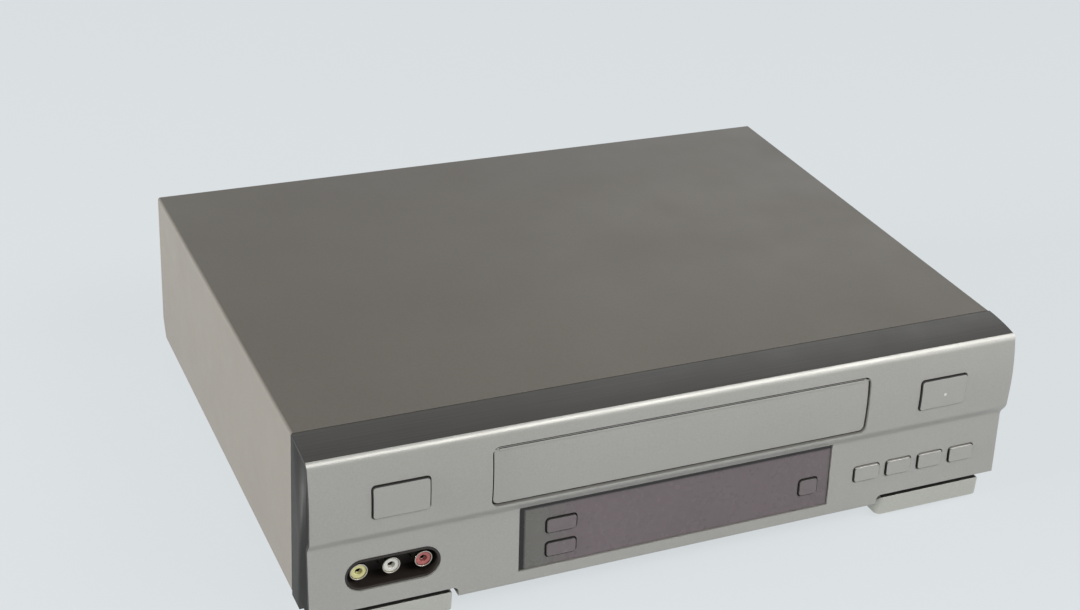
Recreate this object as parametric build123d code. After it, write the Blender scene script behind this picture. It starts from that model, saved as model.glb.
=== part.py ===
from build123d import *
import math
import os

os.makedirs("parts", exist_ok=True)

# A front-loading VHS video recorder. +X is to the right of someone facing the front panel,
# which looks along -Y, and +Z is up. The origin is on the surface it stands on, under the
# centre of its overall box. Millimetres.

# ---------------------------------------------------------------- driving dimensions
# case
case_width = 360.0
case_height = 94.0
cover_length = 243.0
cover_sheet = 0.8
cover_side_bottom = 11.5      # height of the cover's lower edges
cover_rear_lip = 9.0          # lip folded down over the rear panel
cover_corner_cut = 5.0        # bevel at the lower rear corner of each side
panel_depth = 26.0            # front panel, from the cover's front edge to the bulge
panel_bottom = 9.2            # underside of the front panel
connector_reach = 8.5         # how far the rear connectors stand out of the rear panel
tray_sheet = 1.0
tray_bottom = 9.7
tray_wall_height = 12.0
tray_setback = 2.0            # behind the front panel
tray_side_gap = 0.4           # between the tray's walls and the cover
rear_sheet = 1.0

# front panel section
panel_wall = 2.5
strip_depth = 20.0            # dark strip, front to back
strip_thickness = 1.5
strip_drop = 2.0              # how far the strip falls towards the front
strip_seat_gap = 0.15
nose_length = 2.1             # rounded silver edge in front of the strip
nose_drop = 0.9
bulge_below_top = 32.0        # the bulge's foremost line, below the case's top
waist_below_top = 39.4        # where the face starts to step back
waist_height = 7.4
waist_setback = 3.4
lower_lean = 3.2              # lower face comes forward again by this much at its foot
bottom_edge_radius = 1.2
panel_lip = 6.0               # rim that tucks in under the cover
panel_lip_wall = 1.6
lip_low = 26.0                # the rim starts above the tray's walls
claw_inset = 60.0             # of the outer claws, from the case's sides
claw_width = 12.0
claw_z = 15.0
claw_thickness = 2.0
claw_reach = 3.0
panel_cover_gap = 0.4         # joint line between the panel and the cover

# cassette door
door_side_room = 2.25         # the doorway round a cassette: beside, under and above it
door_low_room = 1.0
door_high_room = 1.9
door_gap = 0.8                # joint line round the door
door_corner = 2.5
door_setback = 1.1            # the door's face lies behind the panel's face
door_thickness = 1.8
door_cut_depth = 7.0          # of the doorway, behind the panel's face
door_slice_depth = 12.0       # of the flap, hinge and all
door_axis_drop = 1.2          # below the door's upper edge
door_pin_radius = 1.0
door_pin_length = 3.0
running_gap = 0.05            # radial clearance of a shaft in its bearing
door_rib_depth = 2.6
spring_wire = 0.8
spring_turns = 4
spring_radius = 2.2
spring_leg = 12.0
spring_boss_web = 1.5
spring_setback = 4.6          # spring's axis behind the door's axis

# display window
window_key_gap = 13.85        # from the window's right end to the first key
window_rise = 6.3             # above the panel's underside
window_waist_rise = 1.7       # above the foot of the waist
window_recess = 0.8
window_edge_gap = 0.3
window_flange = 2.5
window_flange_sheet = 1.2
window_cut_depth = 9.0        # of the opening, behind the panel's face

# push buttons: centres, and width and height of each cap
main_button_inset = 40.9      # from the case's side
main_button_below_top = 24.85
main_button_size = (26.0, 15.6)
key_last_inset = 21.8
key_pitch = 18.5
key_above_window = 13.75      # above the window's lower edge
key_size = (14.2, 7.9)
key_names = ("rewind_button", "play_button", "fast_forward_button", "stop_button")
channel_inset = 21.1          # from the window's left end
channel_pitch = 12.3
channel_drop = 2.4            # of the pair, below the window's middle
channel_size = (14.8, 7.0)
record_inset = 11.8           # from the window's right end
record_drop = 4.45
record_size = (9.8, 8.3)
button_corner = 1.5
button_gap = 0.6
button_proud = 1.0
window_button_proud = 0.1     # the window lies deeper than the panel's face
button_travel = 1.2
button_cap_depth = 4.1
button_rim_wide = 1.1         # rim behind the panel that keeps a cap in
button_rim_thickness = 0.9
button_edge_radius = 0.5
button_stem_radius = 2.2
button_cut_depth = 10.0       # of the holes, behind the panel's face

# front jacks
jack_pocket_inset = 38.6      # from the case's left side
jack_pocket_z = 31.0
jack_pocket_size = (44.1, 15.6)
jack_pitch = 15.0
jack_recess = 2.5             # jack rims behind the panel's face
jack_barrel_radius = 4.15
jack_barrel_length = 8.0
jack_barrel_wall = 0.5
jack_bore_radius = 1.7
jack_insert_recess = 0.5      # insulator behind the barrel's rim
jack_cup_wall = 1.0
jack_cup_inset = 0.3          # the cup's rim lies this far behind the face
jack_colours = ("yellow", "white", "red")
jack_housing_depth = 12.0
jack_root_gap = 0.6           # round a barrel's root

# rear connectors
rear_jack_x = 20.0
rear_jack_low_z = 34.0
rear_jack_row = 16.0
tuner_inset = 36.0            # from the case's right side
tuner_width = 56.0
tuner_height = 36.0
tuner_length = 20.5
tuner_low_z = 26.0
aerial_radius = 4.75
aerial_pitch = 22.0
aerial_bore_radius = 3.4
aerial_core_radius = 2.7
aerial_pin_hole_radius = 0.6
aerial_grooves = 4
aerial_groove = 0.3           # depth and half width of a groove
aerial_groove_pitch = 1.3
inlet_inset = 34.0            # from the case's left side
inlet_z = 42.0
inlet_width = 20.0
inlet_height = 12.0
inlet_depth = 16.0
inlet_corner = 3.0
inlet_flange = 2.0
inlet_well = 12.0
inlet_proud = 1.5
inlet_well_radius = 4.2
inlet_pin_pitch = 8.6
inlet_pin_radius = 1.2
fit_gap = 0.3                 # general clearance of a fitted part in its hole

# feet
foot_width = 60.7
foot_inset = 6.6              # from the case's side
foot_depth = 34.0
foot_setback = 0.6            # behind the panel's face
foot_block_depth = 12.0       # of the part that stands in the panel's notch
foot_gap = 2.2                # dark line between foot and panel
foot_rear_gap = 0.9           # behind the notch
foot_corner = 3.0
notch_rise = 5.2              # of the notch over each foot, above the panel's underside
notch_wall = 1.6
rear_foot_radius = 13.0
rear_foot_inset_x = 24.0
rear_foot_inset_y = 26.0
pad_radius = 8.0
pad_height = 3.4
pad_proud = 2.2               # the silver feet stay clear of the table by this much
screw_head_radius = 3.0
screw_head_height = 1.8
screw_shank_radius = 1.5
screw_length = 6.0
foot_screw_seat = 4.5         # height of a foot screw's seat
cover_screw_inset = 50.0      # of the outer screws, from the case's sides
cover_screw_drop = 5.5        # below the case's top
cover_bend_radius = 1.3
rear_vent_rows = 5
rear_vent_columns = 3
rear_vent_start = 38.0        # first column, from the mains inlet
rear_vent_z = 44.0
rear_vent_length = 22.0
rear_vent_height = 2.4
rear_vent_bridge = 4.0        # metal between two columns
vent_pitch = 6.0
vent_width = 2.6
vent_length = 30.0
vent_inset = 40.0             # of the side fields, from the case's sides
vent_field_y = (60.0, -60.0, -80.0, -60.0)
vent_slot_counts = (8, 8, 14, 8)

# boards
board_thickness = 1.6
front_board_setback = 8.0     # in front of the cover's front edge
front_board_low = 13.0
front_board_door_gap = 5.5    # below the doorway
front_board_top_gap = 12.0    # below the case's top
front_board_tower_gap = 16.0  # from the doorway to the towers beside it
main_board_rise = 5.3         # above the tray's floor
key_switch_size = (6.0, 3.4, 6.0)
display_size = (86.0, 6.0, 19.0)
display_x = 4.0
display_rise = -0.5           # of its middle, above the window's middle
board_side_gap = 8.0
main_board_length = 92.0
main_board_rear_gap = 15.5    # between the board and the rear panel's outer face
transformer_inset = 32.0      # from the case's left side
transformer_y = 42.0
transformer_size = (34.0, 30.0, 28.0)
heat_sink_inset = 14.0
heat_sink_y = 84.0
heat_sink_size = (10.0, 40.0, 34.0)
fin_sheet = 1.6
fin_count = 8
# capacitors: side of the case, distance from that side, y, radius and height
capacitors = (
    (-1, 34.0, 92.0, 11.0, 32.0),
    (1, 40.0, 62.0, 6.5, 20.0),
    (1, 42.0, 40.0, 5.0, 16.0),
    (1, 28.0, 40.0, 5.0, 12.0),
    (1, 20.0, 64.0, 4.0, 11.0),
)
# chips: x, y, width and length
chips = (
    (-66.0, 40.0, 22.0, 14.0),
    (-80.0, 80.0, 34.0, 12.0),
    (20.0, 90.0, 20.0, 20.0),
    (-50.0, 104.0, 16.0, 8.0),
)
chip_height = 1.6

# tape deck
deck_below_top = 63.4         # top of the deck plate, below the case's top
deck_sheet = 1.6
deck_half_width = 112.0
deck_front_gap = 14.0         # behind the cover's front edge
deck_length = 206.0
cassette_above_deck = 5.9     # underside of a cassette that is playing
cassette_drop = 20.0
cassette_travel = 55.0
cassette_width = 187.5
cassette_height = 25.0
cassette_side_gap = 0.6
cassette_front = 1.0          # where the inner edge of a loaded cassette lies, in Y
reel_pitch = 92.5
reel_from_edge = 57.0
reel_rim_radius = 20.0
reel_rim_height = 3.0
reel_hub_radius = 12.0
reel_spindle_radius = 4.2
reel_spindle_height = 13.5    # above the underside of a playing cassette
drum_x = -4.0
drum_y = 38.0
drum_radius = 31.0
drum_tilt = 5.9
lower_drum_height = 16.0
upper_drum_height = 14.0
drum_split = 0.5
drum_foot = 4.0
drum_flange = 2.0             # foot beyond the drum
drum_shaft_radius = 3.0
drum_rotor_radius = 22.0
drum_rotor_thickness = 4.0
drum_rotor_gap = 3.0          # round the rotor, in the deck and in the board
rotor_drop = 2.0              # from the deck's underside to the rotor
stator_thickness = 1.6
capstan_x = 72.0
capstan_y = -6.0
capstan_radius = 1.5
flywheel_radius = 23.0
flywheel_thickness = 4.0
flywheel_pulley_radius = 9.0
bush_radius = 4.0
belt_size = 1.2
belt_gap = 0.3
clutch_y = -40.0
clutch_pulley_radius = 15.0
clutch_wheel_radius = 8.0
idler_radius = 14.0
wheel_gap = 0.3               # between driven rims at rest contact
pinch_radius = 7.0
pinch_height = 20.0
pinch_pivot_x = 88.0
pinch_pivot_y = 14.0
pinch_swing_angle = 30.0
guide_clearance = 0.7         # under a raised cassette
guide_start_y = -14.0
guide_start_offset = 34.0     # from the drum's axis, in X
guide_end_offset = 42.0
guide_travel_y = 62.0
guide_roller_radius = 3.0
guide_base_size = (11.0, 9.0, 4.0)
guide_slot_width = 4.4
washer_drop = 1.8             # of the guides' washers, below the deck plate
washer_thickness = 1.2
guide_shaft_radius = 1.2
guide_post_offset = 4.0       # fixed tape post beside the roller
tension_pivot_x = -74.0
tension_pivot_y = 14.0
tension_arm_length = 27.0
tension_rest_angle = 20.0     # of the arm, from straight ahead towards the middle
gear_module = 1.0
cam_teeth = 46
pinion_teeth = 10
cam_x = 76.0
cam_y = 58.0
gear_width = 4.0
gear_level = 1.4              # gears above the deck plate
motor_radius = 12.0
motor_shaft_radius = 1.0
bracket_reach = 18.0
bracket_back = 9.0
bracket_width = 9.0
bracket_sheet = 1.6
bracket_leg_radius = 3.0
pin_radius = 1.5
clutch_shaft_radius = 2.0
pulley_drop = 10.2            # undersides of the belt pulleys, below the deck's top
pulley_width = 2.2
wheel_level = 1.8             # driven wheels above the deck plate
wheel_width = 2.4
idler_sheet = 1.0
arm_sheet = 2.0
arm_level = 3.2               # undersides of the arms, above the deck plate
pinch_arm_width = 8.0
deck_pillar_radius = 4.5
board_pillar_radius = 3.5
board_pillar_inset = 8.0      # from the board's edges
pillar_bore = 1.3
cassette_rest_radius = 2.0
cassette_rest_x = 70.0
cassette_rest_steps = (-28.0, 34.0)  # from the reels, in Y
head_places = ((-58.0, 31.0, 9.0, 8.0), (52.0, 20.0, 8.0, 9.0))
motor_height = 20.0
motor_rise = 9.0              # above the deck plate
carrier_frame_x = 100.0       # inner faces of the carrier's side plates
carrier_frame_sheet = 1.2
carrier_frame_rise = 4.2      # above the raised carrier
carrier_length = 46.0
carrier_sheet = 1.2
carrier_ledge = 12.0
carrier_bridge = 24.0         # front-to-back length of the carrier's top
carrier_frame_rear_y = 6.0
bridge_y = -60.0
bridge_length = 40.0
rail_width = 2.0
rack_thickness = 1.8
rack_side_gap = 0.5
rack_length = 60.0
rack_pitch_drop = 4.2         # rack's pitch line below the lowered pin
rack_root_half = 0.85         # half width of a rack tooth at its root and at its tip
rack_tip_half = 0.32
carrier_pinion_teeth = 12
pinion_margin = 2.0

# ---------------------------------------------------------------- derived places
depth = button_proud + panel_depth + cover_length - cover_sheet + connector_reach
front_y = button_proud - depth / 2.0
cover_front_y = front_y + panel_depth
cover_rear_y = cover_front_y + cover_length
rear_face_y = cover_rear_y - cover_sheet
half_width = case_width / 2.0
claw_places = (claw_inset - half_width, 0.0, half_width - claw_inset)
cover_screw_places = (cover_screw_inset - half_width, 0.0, half_width - cover_screw_inset)
cover_screw_z = case_height - cover_screw_drop
foot_outer_x = half_width - foot_inset
foot_inner_x = foot_outer_x - foot_width
notch_top = panel_bottom + notch_rise
jack_pocket_x = jack_pocket_inset - half_width
tuner_x = half_width - tuner_inset
inlet_x = inlet_inset - half_width
rear_vent_x = inlet_x + rear_vent_start
inner_half_width = half_width - cover_sheet - tray_side_gap
tray_top = tray_bottom + tray_sheet
tray_front_y = cover_front_y + tray_setback
board_front_y = cover_front_y - front_board_setback
board_back_y = board_front_y + board_thickness
deck_z = case_height - deck_below_top
deck_front_y = cover_front_y + deck_front_gap
deck_rear_y = deck_front_y + deck_length
deck_bottom = deck_z - deck_sheet
pulley_low = deck_z - pulley_drop
cassette_lowered = deck_z + cassette_above_deck
cassette_raised = cassette_lowered + cassette_drop
door_width = cassette_width + 2 * door_side_room
door_bottom = cassette_raised - door_low_room
door_top = cassette_raised + cassette_height + door_high_room
door_axis_height = door_top - door_axis_drop
bulge_height = case_height - bulge_below_top
waist_top = case_height - waist_below_top
waist_bottom = waist_top - waist_height
main_button_x = half_width - main_button_inset
main_button_z = case_height - main_button_below_top
key_first_x = half_width - key_last_inset - (len(key_names) - 1) * key_pitch
window_half = key_first_x - key_size[0] / 2 - window_key_gap
window_bottom = panel_bottom + window_rise
window_top = waist_bottom + window_waist_rise
window_mid_z = (window_bottom + window_top) / 2
key_z = window_bottom + key_above_window
channel_x = channel_inset - window_half
channel_up_z = window_mid_z - channel_drop + channel_pitch / 2
channel_down_z = window_mid_z - channel_drop - channel_pitch / 2
record_x = window_half - record_inset
record_z = window_mid_z - record_drop
display_z = window_mid_z + display_rise
front_board_mid = door_bottom - front_board_door_gap
front_board_high = case_height - front_board_top_gap
board_half_width = half_width - board_side_gap
main_board_z = tray_top + main_board_rise
reel_spindle_top = cassette_lowered + reel_spindle_height
reel_y = cassette_front - reel_from_edge
rear_half_width = inner_half_width
main_board_rear_y = rear_face_y - main_board_rear_gap
main_board_front_y = main_board_rear_y - main_board_length
rear_foot_y = cover_rear_y - rear_foot_inset_y
washer_low = deck_bottom - washer_drop
guide_top = cassette_raised - guide_clearance
arm_z = deck_z + arm_level
motor_low = deck_z + motor_rise
rear_jack_places = [
    (rear_jack_x + step * jack_pitch, rear_jack_low_z + row * rear_jack_row)
    for row in (0, 1)
    for step in (-1, 0, 1)
]
aerial_places = [
    (tuner_x + step * aerial_pitch / 2, tuner_low_z + tuner_height / 2) for step in (-1, 1)
]
deck_pillars = [
    (side * (deck_half_width - 7), y)
    for side in (-1, 1)
    for y in (deck_front_y + 8, deck_rear_y - 8)
]
board_pillars = [
    (side * (board_half_width - board_pillar_inset), y)
    for side in (-1, 1)
    for y in (main_board_front_y + board_pillar_inset, main_board_rear_y - board_pillar_inset)
]
cassette_rests = [
    (side * cassette_rest_x, reel_y + step) for side in (-1, 1) for step in cassette_rest_steps
]
vent_x = (vent_inset - half_width, vent_inset - half_width, 0.0, half_width - vent_inset)

nodes = {}


# ---------------------------------------------------------------- small makers
def block(x0, x1, y0, y1, z0, z1):
    """A box between two corners."""
    return Pos((x0 + x1) / 2, (y0 + y1) / 2, (z0 + z1) / 2) * Box(x1 - x0, y1 - y0, z1 - z0)


def post(x, y, z0, z1, radius):
    """An upright cylinder from z0 to z1."""
    return Pos(x, y, (z0 + z1) / 2) * Cylinder(radius, z1 - z0)


def rod_x(x0, x1, y, z, radius):
    """A cylinder along X."""
    return Pos((x0 + x1) / 2, y, z) * Rot(0, 90, 0) * Cylinder(radius, x1 - x0)


def rod_y(x, y0, y1, z, radius):
    """A cylinder along Y."""
    return Pos(x, (y0 + y1) / 2, z) * Rot(90, 0, 0) * Cylinder(radius, y1 - y0)


def rounded_y(x, z, width, height, y0, y1, radius):
    """A prism along Y whose section is a rounded rectangle centred on x, z."""
    section = RectangleRounded(width, height, min(radius, 0.499 * width, 0.499 * height))
    return Pos(x, y1, z) * Rot(90, 0, 0) * extrude(section, y1 - y0)


def rounded_z(x, y, width, length, z0, z1, radius):
    """An upright prism whose section is a rounded rectangle."""
    section = RectangleRounded(width, length, min(radius, 0.499 * width, 0.499 * length))
    return Pos(x, y, z0) * extrude(section, z1 - z0)


def bar(x0, y0, x1, y1, width, z0, z1):
    """A flat bar with round ends between two points, lying level."""
    length = math.hypot(x1 - x0, y1 - y0)
    angle = math.degrees(math.atan2(y1 - y0, x1 - x0))
    flat = Pos((x0 + x1) / 2, (y0 + y1) / 2, z0) * Rot(0, 0, angle)
    return flat * extrude(SlotCenterToCenter(length, width), z1 - z0)


def spur_gear(module, teeth, width, bore, phase=0.0):
    """A gear lying level on z = 0, with straight-flanked teeth that leave backlash.

    phase is the direction of one tooth, in degrees.
    """
    pitch_radius = module * teeth / 2
    root_radius = pitch_radius - 1.2 * module
    tip_radius = pitch_radius + 0.8 * module
    pitch_angle = 2 * math.pi / teeth
    root_share = 0.27
    tip_share = 0.10
    outline = []
    for tooth in range(teeth):
        middle = math.radians(phase) + tooth * pitch_angle
        for radius, share in (
            (root_radius, -root_share),
            (tip_radius, -tip_share),
            (tip_radius, tip_share),
            (root_radius, root_share),
        ):
            angle = middle + share * pitch_angle
            outline.append((radius * math.cos(angle), radius * math.sin(angle)))
    blank = extrude(make_face(Polyline(*outline, close=True)), width)
    return blank - Pos(0, 0, width / 2) * Cylinder(bore, width + 1)


# ---------------------------------------------------------------- front panel section
# The section is drawn in the YZ plane: local x is Y and local y is Z.
nose_back = (cover_front_y - strip_depth - 0.2, case_height - strip_drop + 0.05)
nose_top = (nose_back[0] - 0.6, nose_back[1])
face_top = (nose_top[0] - (nose_length - 0.9), nose_top[1] - nose_drop)
bulge_line = (front_y, bulge_height)
waist_high = (front_y, waist_top)
waist_low = (front_y + waist_setback, waist_bottom)
waist_mid = ((waist_high[0] + waist_low[0]) / 2, (waist_high[1] + waist_low[1]) / 2)
foot_front_y = waist_low[0] - lower_lean
foot_corner_high = (foot_front_y, panel_bottom + bottom_edge_radius)
foot_corner_low = (foot_front_y + bottom_edge_radius, panel_bottom)
foot_block_y = foot_front_y + foot_setback
notch_rear_y = foot_block_y + foot_block_depth + foot_gap
pad_y = foot_front_y + pad_radius + 4
foot_screw_y = foot_block_y + foot_depth - 5.5
foot_screws = [(side * (foot_outer_x - foot_width / 2), foot_screw_y) for side in (-1, 1)]
foot_screws += [(side * (half_width - rear_foot_inset_x), rear_foot_y) for side in (-1, 1)]
strip_rear_z = case_height - strip_thickness - strip_seat_gap
strip_front_z = case_height - strip_drop - strip_thickness - strip_seat_gap


def panel_outline():
    """The closed outer section of the front panel, without the strip."""
    nose = TangentArc(nose_top, face_top, tangent=(-1, 0))
    upper = TangentArc(bulge_line, face_top, tangent=(0, 1))
    step_out = TangentArc(waist_high, waist_mid, tangent=(0, -1))
    step_in = TangentArc(waist_low, waist_mid, tangent=(0, 1))
    corner = TangentArc(foot_corner_low, foot_corner_high, tangent=(-1, 0))
    return [
        nose,
        upper,
        Line(bulge_line, waist_high),
        step_out,
        step_in,
        Line(waist_low, foot_corner_high),
        corner,
        Line(foot_corner_low, (cover_front_y, panel_bottom)),
        Line((cover_front_y, panel_bottom), (cover_front_y, strip_rear_z)),
        Line((cover_front_y, strip_rear_z), (nose_back[0], strip_front_z)),
        Line((nose_back[0], strip_front_z), nose_back),
        Line(nose_back, nose_top),
    ]


def face_curve_radius():
    """Radius of the arc between the bulge line and the nose."""
    rise = face_top[1] - bulge_line[1]
    run = face_top[0] - bulge_line[0]
    return (rise**2 + run**2) / (2 * run)


def face_y(z):
    """Y of the panel's outer face at a height."""
    if z >= bulge_height:
        radius = face_curve_radius()
        return front_y + radius - math.sqrt(radius**2 - (z - bulge_height) ** 2)
    if z >= waist_top:
        return front_y
    if z >= waist_bottom:
        share = (waist_top - z) / (waist_top - waist_bottom)
        return front_y + waist_setback * (3 * share**2 - 2 * share**3)
    share = (waist_bottom - z) / (waist_bottom - foot_corner_high[1])
    return waist_low[0] + share * (foot_front_y - waist_low[0])


outer_section = make_face(Plane.YZ * Wire(panel_outline()))


def panel_slab(outset, half):
    """The panel's full section, grown by outset, between x = -half and half."""
    section = outer_section if outset == 0 else offset(outer_section, amount=outset)
    return Pos(-half, 0, 0) * extrude(section, 2 * half, dir=(1, 0, 0))


def face_band(front, back, half, z0, z1):
    """A sheet that follows the panel's face, between two depths behind it."""
    reach = block(-half, half, front_y - 5, max(face_y(z0), face_y(z1)) + back, z0, z1)
    return (panel_slab(-front, half) - panel_slab(-back, half + 1)) & reach


panel_cavity = panel_slab(-panel_wall, half_width - panel_wall)
cavity_top = strip_rear_z - 2 * panel_wall
panel_cavity += block(
    panel_wall - half_width, half_width - panel_wall,
    cover_front_y - 3 * panel_wall, cover_front_y + 1, panel_bottom + panel_wall, cavity_top,
)
door_axis_y = face_y(door_axis_height) + door_setback + door_thickness / 2
spring_y = door_axis_y + spring_setback
jack_face_y = face_y(jack_pocket_z)
jack_cup_front = jack_face_y + jack_cup_inset
jack_floor_y = jack_face_y + jack_recess + jack_barrel_length
rack_rear_y = cassette_front + 2 - cassette_travel - carrier_length + rack_length
rack_top = cassette_raised + cassette_height / 2 + 6.0


# ---------------------------------------------------------------- buttons
button_places = {
    "power_button": (-main_button_x, main_button_z, main_button_size),
    "eject_button": (main_button_x, main_button_z, main_button_size),
    "channel_up_button": (channel_x, channel_up_z, channel_size),
    "channel_down_button": (channel_x, channel_down_z, channel_size),
    "record_button": (record_x, record_z, record_size),
}
for place, key_name in enumerate(key_names):
    button_places[key_name] = (key_first_x + place * key_pitch, key_z, key_size)
window_buttons = ("channel_up_button", "channel_down_button", "record_button")
button_slab = panel_slab(button_proud, half_width)
window_button_slab = panel_slab(window_button_proud, half_width)
switch_front_y = board_front_y - key_switch_size[1]


def button_hole(name):
    """The hole that a button's cap moves in."""
    x, z, (width, height) = button_places[name]
    return rounded_y(
        x, z, width + 2 * button_gap, height + 2 * button_gap,
        front_y - 3, front_y + button_cut_depth, button_corner + button_gap,
    )


def push_button(name):
    """A cap that follows the face, a rim that keeps it in, and a stem to its key switch."""
    x, z, (width, height) = button_places[name]
    cap_back = max(face_y(z - height / 2), face_y(z + height / 2)) + button_cap_depth
    slab = window_button_slab if name in window_buttons else button_slab
    cap = rounded_y(x, z, width, height, front_y - 3, cap_back, button_corner) & slab
    front_face = cap.faces().sort_by(Axis.Y)[0]
    cap = fillet(front_face.edges(), button_edge_radius)
    rim = rounded_y(
        x, z, width + 2 * button_rim_wide, height + 2 * button_rim_wide,
        cap_back, cap_back + button_rim_thickness, button_corner + button_rim_wide,
    )
    stem_end = switch_front_y - button_travel - fit_gap
    stem = rod_y(x, cap_back, stem_end, z, button_stem_radius)
    return cap + rim + stem


# ---------------------------------------------------------------- front panel
def foot_notch(grow):
    """The space over the right foot, open at the panel's end and underside."""
    inner = foot_inner_x - foot_gap - grow
    outer = half_width + 2 * foot_width
    top = notch_top + grow
    return rounded_y(
        (inner + outer) / 2, top - foot_width / 2, outer - inner, foot_width,
        front_y - 1, notch_rear_y + grow, foot_corner + grow,
    )


def make_front_panel():
    """The silver moulding, with its openings, hinge lugs, rear rim and claws."""
    panel = panel_slab(0, half_width) - panel_cavity
    right_roof = foot_notch(notch_wall) & panel_slab(0, half_width)
    panel += right_roof + mirror(right_roof, about=Plane.YZ)
    panel -= foot_notch(0) + mirror(foot_notch(0), about=Plane.YZ)
    lip_x = inner_half_width - fit_gap
    lip_top = case_height - cover_sheet - fit_gap
    lip_back = cover_front_y + panel_lip
    lip = block(-lip_x, lip_x, cover_front_y - panel_wall, lip_back, lip_low, lip_top)
    lip -= block(
        panel_lip_wall - lip_x, lip_x - panel_lip_wall,
        cover_front_y - 2 * panel_wall, lip_back + 1, lip_low - 1, lip_top - panel_lip_wall,
    )
    lip -= block(-half_width, half_width, front_y, cover_front_y, strip_rear_z - 0.5, case_height)
    panel += lip
    lug_inner = door_width / 2 + door_gap
    for side in (-1, 1):
        lug = rod_x(
            lug_inner, lug_inner + door_pin_length + 1, door_axis_y, door_axis_height,
            door_pin_radius + 1.4,
        )
        lug &= block(
            0, half_width, door_axis_y - door_pin_radius - 0.5, cover_front_y,
            door_bottom, case_height,
        )
        lug += block(
            lug_inner, lug_inner + door_pin_length + 1, door_axis_y - 1, door_axis_y + 1,
            door_axis_height, cavity_top + 1.5,
        )
        bore = rod_x(
            lug_inner - 2, lug_inner + door_pin_length, door_axis_y, door_axis_height,
            door_pin_radius + running_gap,
        )
        if side < 0:
            lug = mirror(lug, about=Plane.YZ)
            bore = mirror(bore, about=Plane.YZ)
        panel = panel + lug - bore
    web_x = -(lug_inner + door_pin_length + spring_boss_web)
    panel += block(
        web_x, web_x + spring_boss_web, spring_y - 1, spring_y + 1,
        door_axis_height - spring_radius, cavity_top + 1.5,
    )
    panel += rod_x(
        web_x, 0.2 - lug_inner, spring_y, door_axis_height, spring_radius - spring_wire - 0.2
    )
    panel -= rounded_y(
        0, (door_bottom + door_top) / 2, door_width + 2 * door_gap,
        door_top - door_bottom + 2 * door_gap, front_y - 1, front_y + door_cut_depth, door_corner + door_gap,
    )
    panel -= block(
        -window_half, window_half, front_y - 1, front_y + window_cut_depth,
        window_bottom, window_top,
    )
    for name in button_places:
        if name not in window_buttons:
            panel -= button_hole(name)
    panel -= jack_prism(fit_gap / 2, front_y - 1, front_y + window_cut_depth)
    for claw_x in claw_places:
        panel += block(
            claw_x - claw_width / 2, claw_x + claw_width / 2,
            cover_front_y - panel_wall, tray_front_y + claw_reach, claw_z, claw_z + claw_thickness,
        )
        panel += block(
            claw_x - claw_width / 2, claw_x + claw_width / 2, cover_front_y - panel_wall,
            cover_front_y, panel_bottom + panel_wall / 2, claw_z + claw_thickness,
        )
    return panel


def jack_prism(grow, y0, y1):
    """A stadium along Y round the front jacks, grown on every side."""
    width, height = jack_pocket_size
    return rounded_y(
        jack_pocket_x, jack_pocket_z, width + 2 * grow, height + 2 * grow, y0, y1, height / 2 + grow
    )


def make_top_strip():
    """The dark strip that lies on the front panel's top, highest at the cover."""
    rear_top = (cover_front_y, case_height)
    front_top = (nose_back[0] + strip_seat_gap, case_height - strip_drop)
    rear_low = (cover_front_y, case_height - strip_thickness)
    front_low = (front_top[0], front_top[1] - strip_thickness)
    outline = Wire([
        TangentArc(rear_top, front_top, tangent=(-1, 0)),
        Line(front_top, front_low),
        Line(front_low, rear_low),
        Line(rear_low, rear_top),
    ])
    return Pos(-half_width, 0, 0) * extrude(make_face(Plane.YZ * outline), case_width, dir=(1, 0, 0))


def make_window():
    """The smoked window: it fills the panel's opening and has a flange behind it."""
    half = window_half - window_edge_gap
    z0 = window_bottom + window_edge_gap
    z1 = window_top - window_edge_gap
    window = face_band(window_recess, panel_wall + window_flange_sheet, half, z0, z1)
    flange = face_band(
        panel_wall + window_edge_gap / 3, panel_wall + window_flange_sheet,
        half + window_flange, z0 - window_edge_gap, z1,
    )
    window += flange
    for name in window_buttons:
        window -= button_hole(name)
    return window


def make_door():
    """The flap across the cassette slot, with a hinge barrel and a pin at each end."""
    half = door_width / 2
    flap = face_band(door_setback, door_setback + door_thickness, half, door_bottom, door_top)
    flap &= rounded_y(
        0, (door_bottom + door_top) / 2, door_width, door_top - door_bottom,
        front_y - 1, front_y + door_slice_depth, door_corner,
    )
    barrel = rod_x(
        door_corner - half, half - door_corner, door_axis_y, door_axis_height,
        door_thickness / 2 + 0.3,
    )
    pin_end = half + door_gap + door_pin_length - fit_gap
    pins = rod_x(-pin_end, pin_end, door_axis_y, door_axis_height, door_pin_radius)
    rib_z = (door_bottom + door_top) / 2
    rib_y = face_y(rib_z) + door_setback + door_thickness / 2
    rib = block(
        door_corner - half, half - door_corner, rib_y, rib_y + door_rib_depth,
        rib_z - door_thickness / 3, rib_z + door_thickness / 3,
    )
    return flap + barrel + pins + rib


def make_door_spring():
    """A torsion spring on its boss behind the left hinge, wound close, with its fixed leg."""
    start = -(door_width / 2 + door_gap + door_pin_length)
    end = start + spring_turns * spring_wire
    coil = rod_x(start, end, spring_y, door_axis_height, spring_radius)
    coil -= rod_x(start - 1, end + 1, spring_y, door_axis_height, spring_radius - spring_wire)
    for turn in range(1, spring_turns):
        x = start + turn * spring_wire
        groove = rod_x(x - 0.1, x + 0.1, spring_y, door_axis_height, spring_radius + 1)
        coil -= groove - rod_x(x - 1, x + 1, spring_y, door_axis_height, spring_radius - spring_wire / 2)
    leg = post(
        start + spring_wire / 2, spring_y + spring_radius - spring_wire / 2,
        door_axis_height - spring_leg, door_axis_height, spring_wire / 2,
    )
    return coil + leg


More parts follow.
